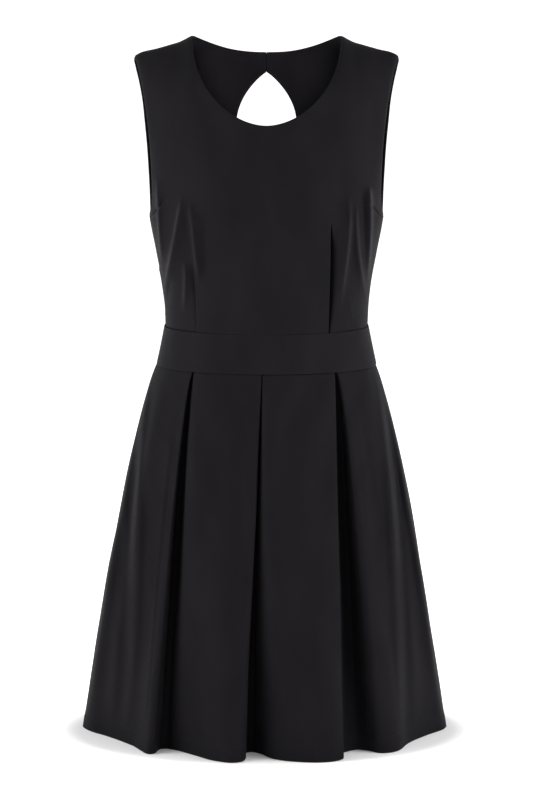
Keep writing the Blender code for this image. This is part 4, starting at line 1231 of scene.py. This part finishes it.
# ---------------------------------------------------------------- floor, light, camera
Z_FLOOR = Z_HEM - 0.0012
LIGHTS = (
    # name, x, y, z, width, height, watts
    ("left_box", -1.5, -0.46, 0.25, 0.9, 1.3, 25),
    ("right_box", 1.5, -0.46, 0.25, 0.9, 1.3, 25),
    ("front_left_box", -2.2, -2.2, 0.5, 1.2, 1.6, 27),
    ("front_right_box", 2.2, -2.2, 0.5, 1.2, 1.6, 27),
    ("front_top_box", 0.0, -2.2, 1.9, 2.0, 1.4, 9),
    ("back_left_box", -2.2, 2.4, 0.5, 1.2, 1.6, 16),
    ("back_right_box", 2.2, 2.4, 0.5, 1.2, 1.6, 16),
)
HEM_CENTRE, HEM_HALF = (-0.0025, -0.0100), (0.2340, 0.1850)   # plan of the hem
GLOW = ((1.00, 1.24, 0.06, 0.86), (1.6, 12.0, 0.0, 0.20))   # the floor's emission, low round the hem as a painted shadow and even white further out: from, to (in hem sizes), least, most


def stage_material():
    """White floor with a painted shadow round the hem, brightening to an even white away from it."""
    mat = bpy.data.materials.new("white_floor_painted_shadow")
    mat.use_nodes = True
    tree = mat.node_tree
    shader = tree.nodes["Principled BSDF"]
    shader.inputs["Base Color"].default_value = (0.80, 0.80, 0.80, 1)
    shader.inputs["Roughness"].default_value = 0.9
    shader.inputs["Specular IOR Level"].default_value = 0.0
    shader.inputs["Emission Color"].default_value = (1, 1, 1, 1)
    where = node(tree, "ShaderNodeTexCoord", (-1000, 0))
    sized = node(tree, "ShaderNodeMapping", (-800, 0), vector_type="TEXTURE")
    sized.inputs["Location"].default_value = (HEM_CENTRE[0], HEM_CENTRE[1], 0)
    sized.inputs["Scale"].default_value = (HEM_HALF[0], HEM_HALF[1], 1000)
    reach = node(tree, "ShaderNodeVectorMath", (-600, 0), operation="LENGTH")
    tree.links.new(where.outputs["Object"], sized.inputs["Vector"])
    tree.links.new(sized.outputs["Vector"], reach.inputs[0])
    both = node(tree, "ShaderNodeMath", (-200, 0), operation="ADD")
    for k, (start, full, least, most) in enumerate(GLOW):
        glow = node(tree, "ShaderNodeMapRange", (-400, -250 * k), interpolation_type="SMOOTHSTEP")
        glow.inputs["From Min"].default_value = start
        glow.inputs["From Max"].default_value = full
        glow.inputs["To Min"].default_value = least
        glow.inputs["To Max"].default_value = most
        tree.links.new(reach.outputs["Value"], glow.inputs["Value"])
        tree.links.new(glow.outputs["Result"], both.inputs[k])
    tree.links.new(both.outputs[0], shader.inputs["Emission Strength"])
    return mat


def floor():
    """Flat white floor that reaches past the edges of the view."""
    places = (-60, -20, -6, -2, -0.8, 0, 0.8, 2, 6, 20, 60)
    verts = [(x, y, 0) for y in places for x in places]
    n = len(places)
    faces = [(i * n + j, i * n + j + 1, (i + 1) * n + j + 1, (i + 1) * n + j) for i in range(n - 1) for j in range(n - 1)]
    mesh = bpy.data.meshes.new("floor")
    mesh.from_pydata(verts, [], faces)
    mesh.materials.append(stage_material())
    obj = bpy.data.objects.new("floor", mesh)
    obj.location = (0, 0, Z_FLOOR)
    bpy.context.scene.collection.objects.link(obj)
    return obj


floor()
for name, x, y, z, width, height, watts in LIGHTS:
    lamp = bpy.data.lights.new(name, "AREA")
    lamp.shape = "RECTANGLE"
    lamp.size, lamp.size_y, lamp.energy = width, height, watts
    obj = bpy.data.objects.new(name, lamp)
    obj.location = (x, y, z)
    aim = Vector((0, 0, -0.40)) - obj.location
    obj.rotation_euler = aim.to_track_quat("-Z", "Y").to_euler()
    bpy.context.scene.collection.objects.link(obj)

world = bpy.data.worlds.new("studio")
bpy.context.scene.world = world
world.use_nodes = True
tree = world.node_tree
background = tree.nodes["Background"]
background.inputs["Color"].default_value = (1, 1, 1, 1)
ray = node(tree, "ShaderNodeLightPath", (-600, 0))
seen = node(tree, "ShaderNodeMapRange", (-300, 0))
seen.inputs["To Min"].default_value = 0.22      # soft light of the white room on the dress
seen.inputs["To Max"].default_value = 1.0       # white where the room itself is seen
tree.links.new(ray.outputs["Is Camera Ray"], seen.inputs["Value"])
tree.links.new(seen.outputs["Result"], background.inputs["Strength"])

camera = bpy.data.cameras.new("camera")
camera.sensor_width = 36.0
camera.lens = 18.0 / (400 / 3937.0)
camera.clip_end = 100
eye = bpy.data.objects.new("camera", camera)
eye.location = (0.0, -4.9451, 0.2905)
eye.rotation_euler = (Vector((0, 0, -0.44855)) - eye.location).to_track_quat("-Z", "Y").to_euler()
bpy.context.scene.collection.objects.link(eye)
bpy.context.scene.camera = eye
bpy.context.scene.view_settings.view_transform = "Standard"
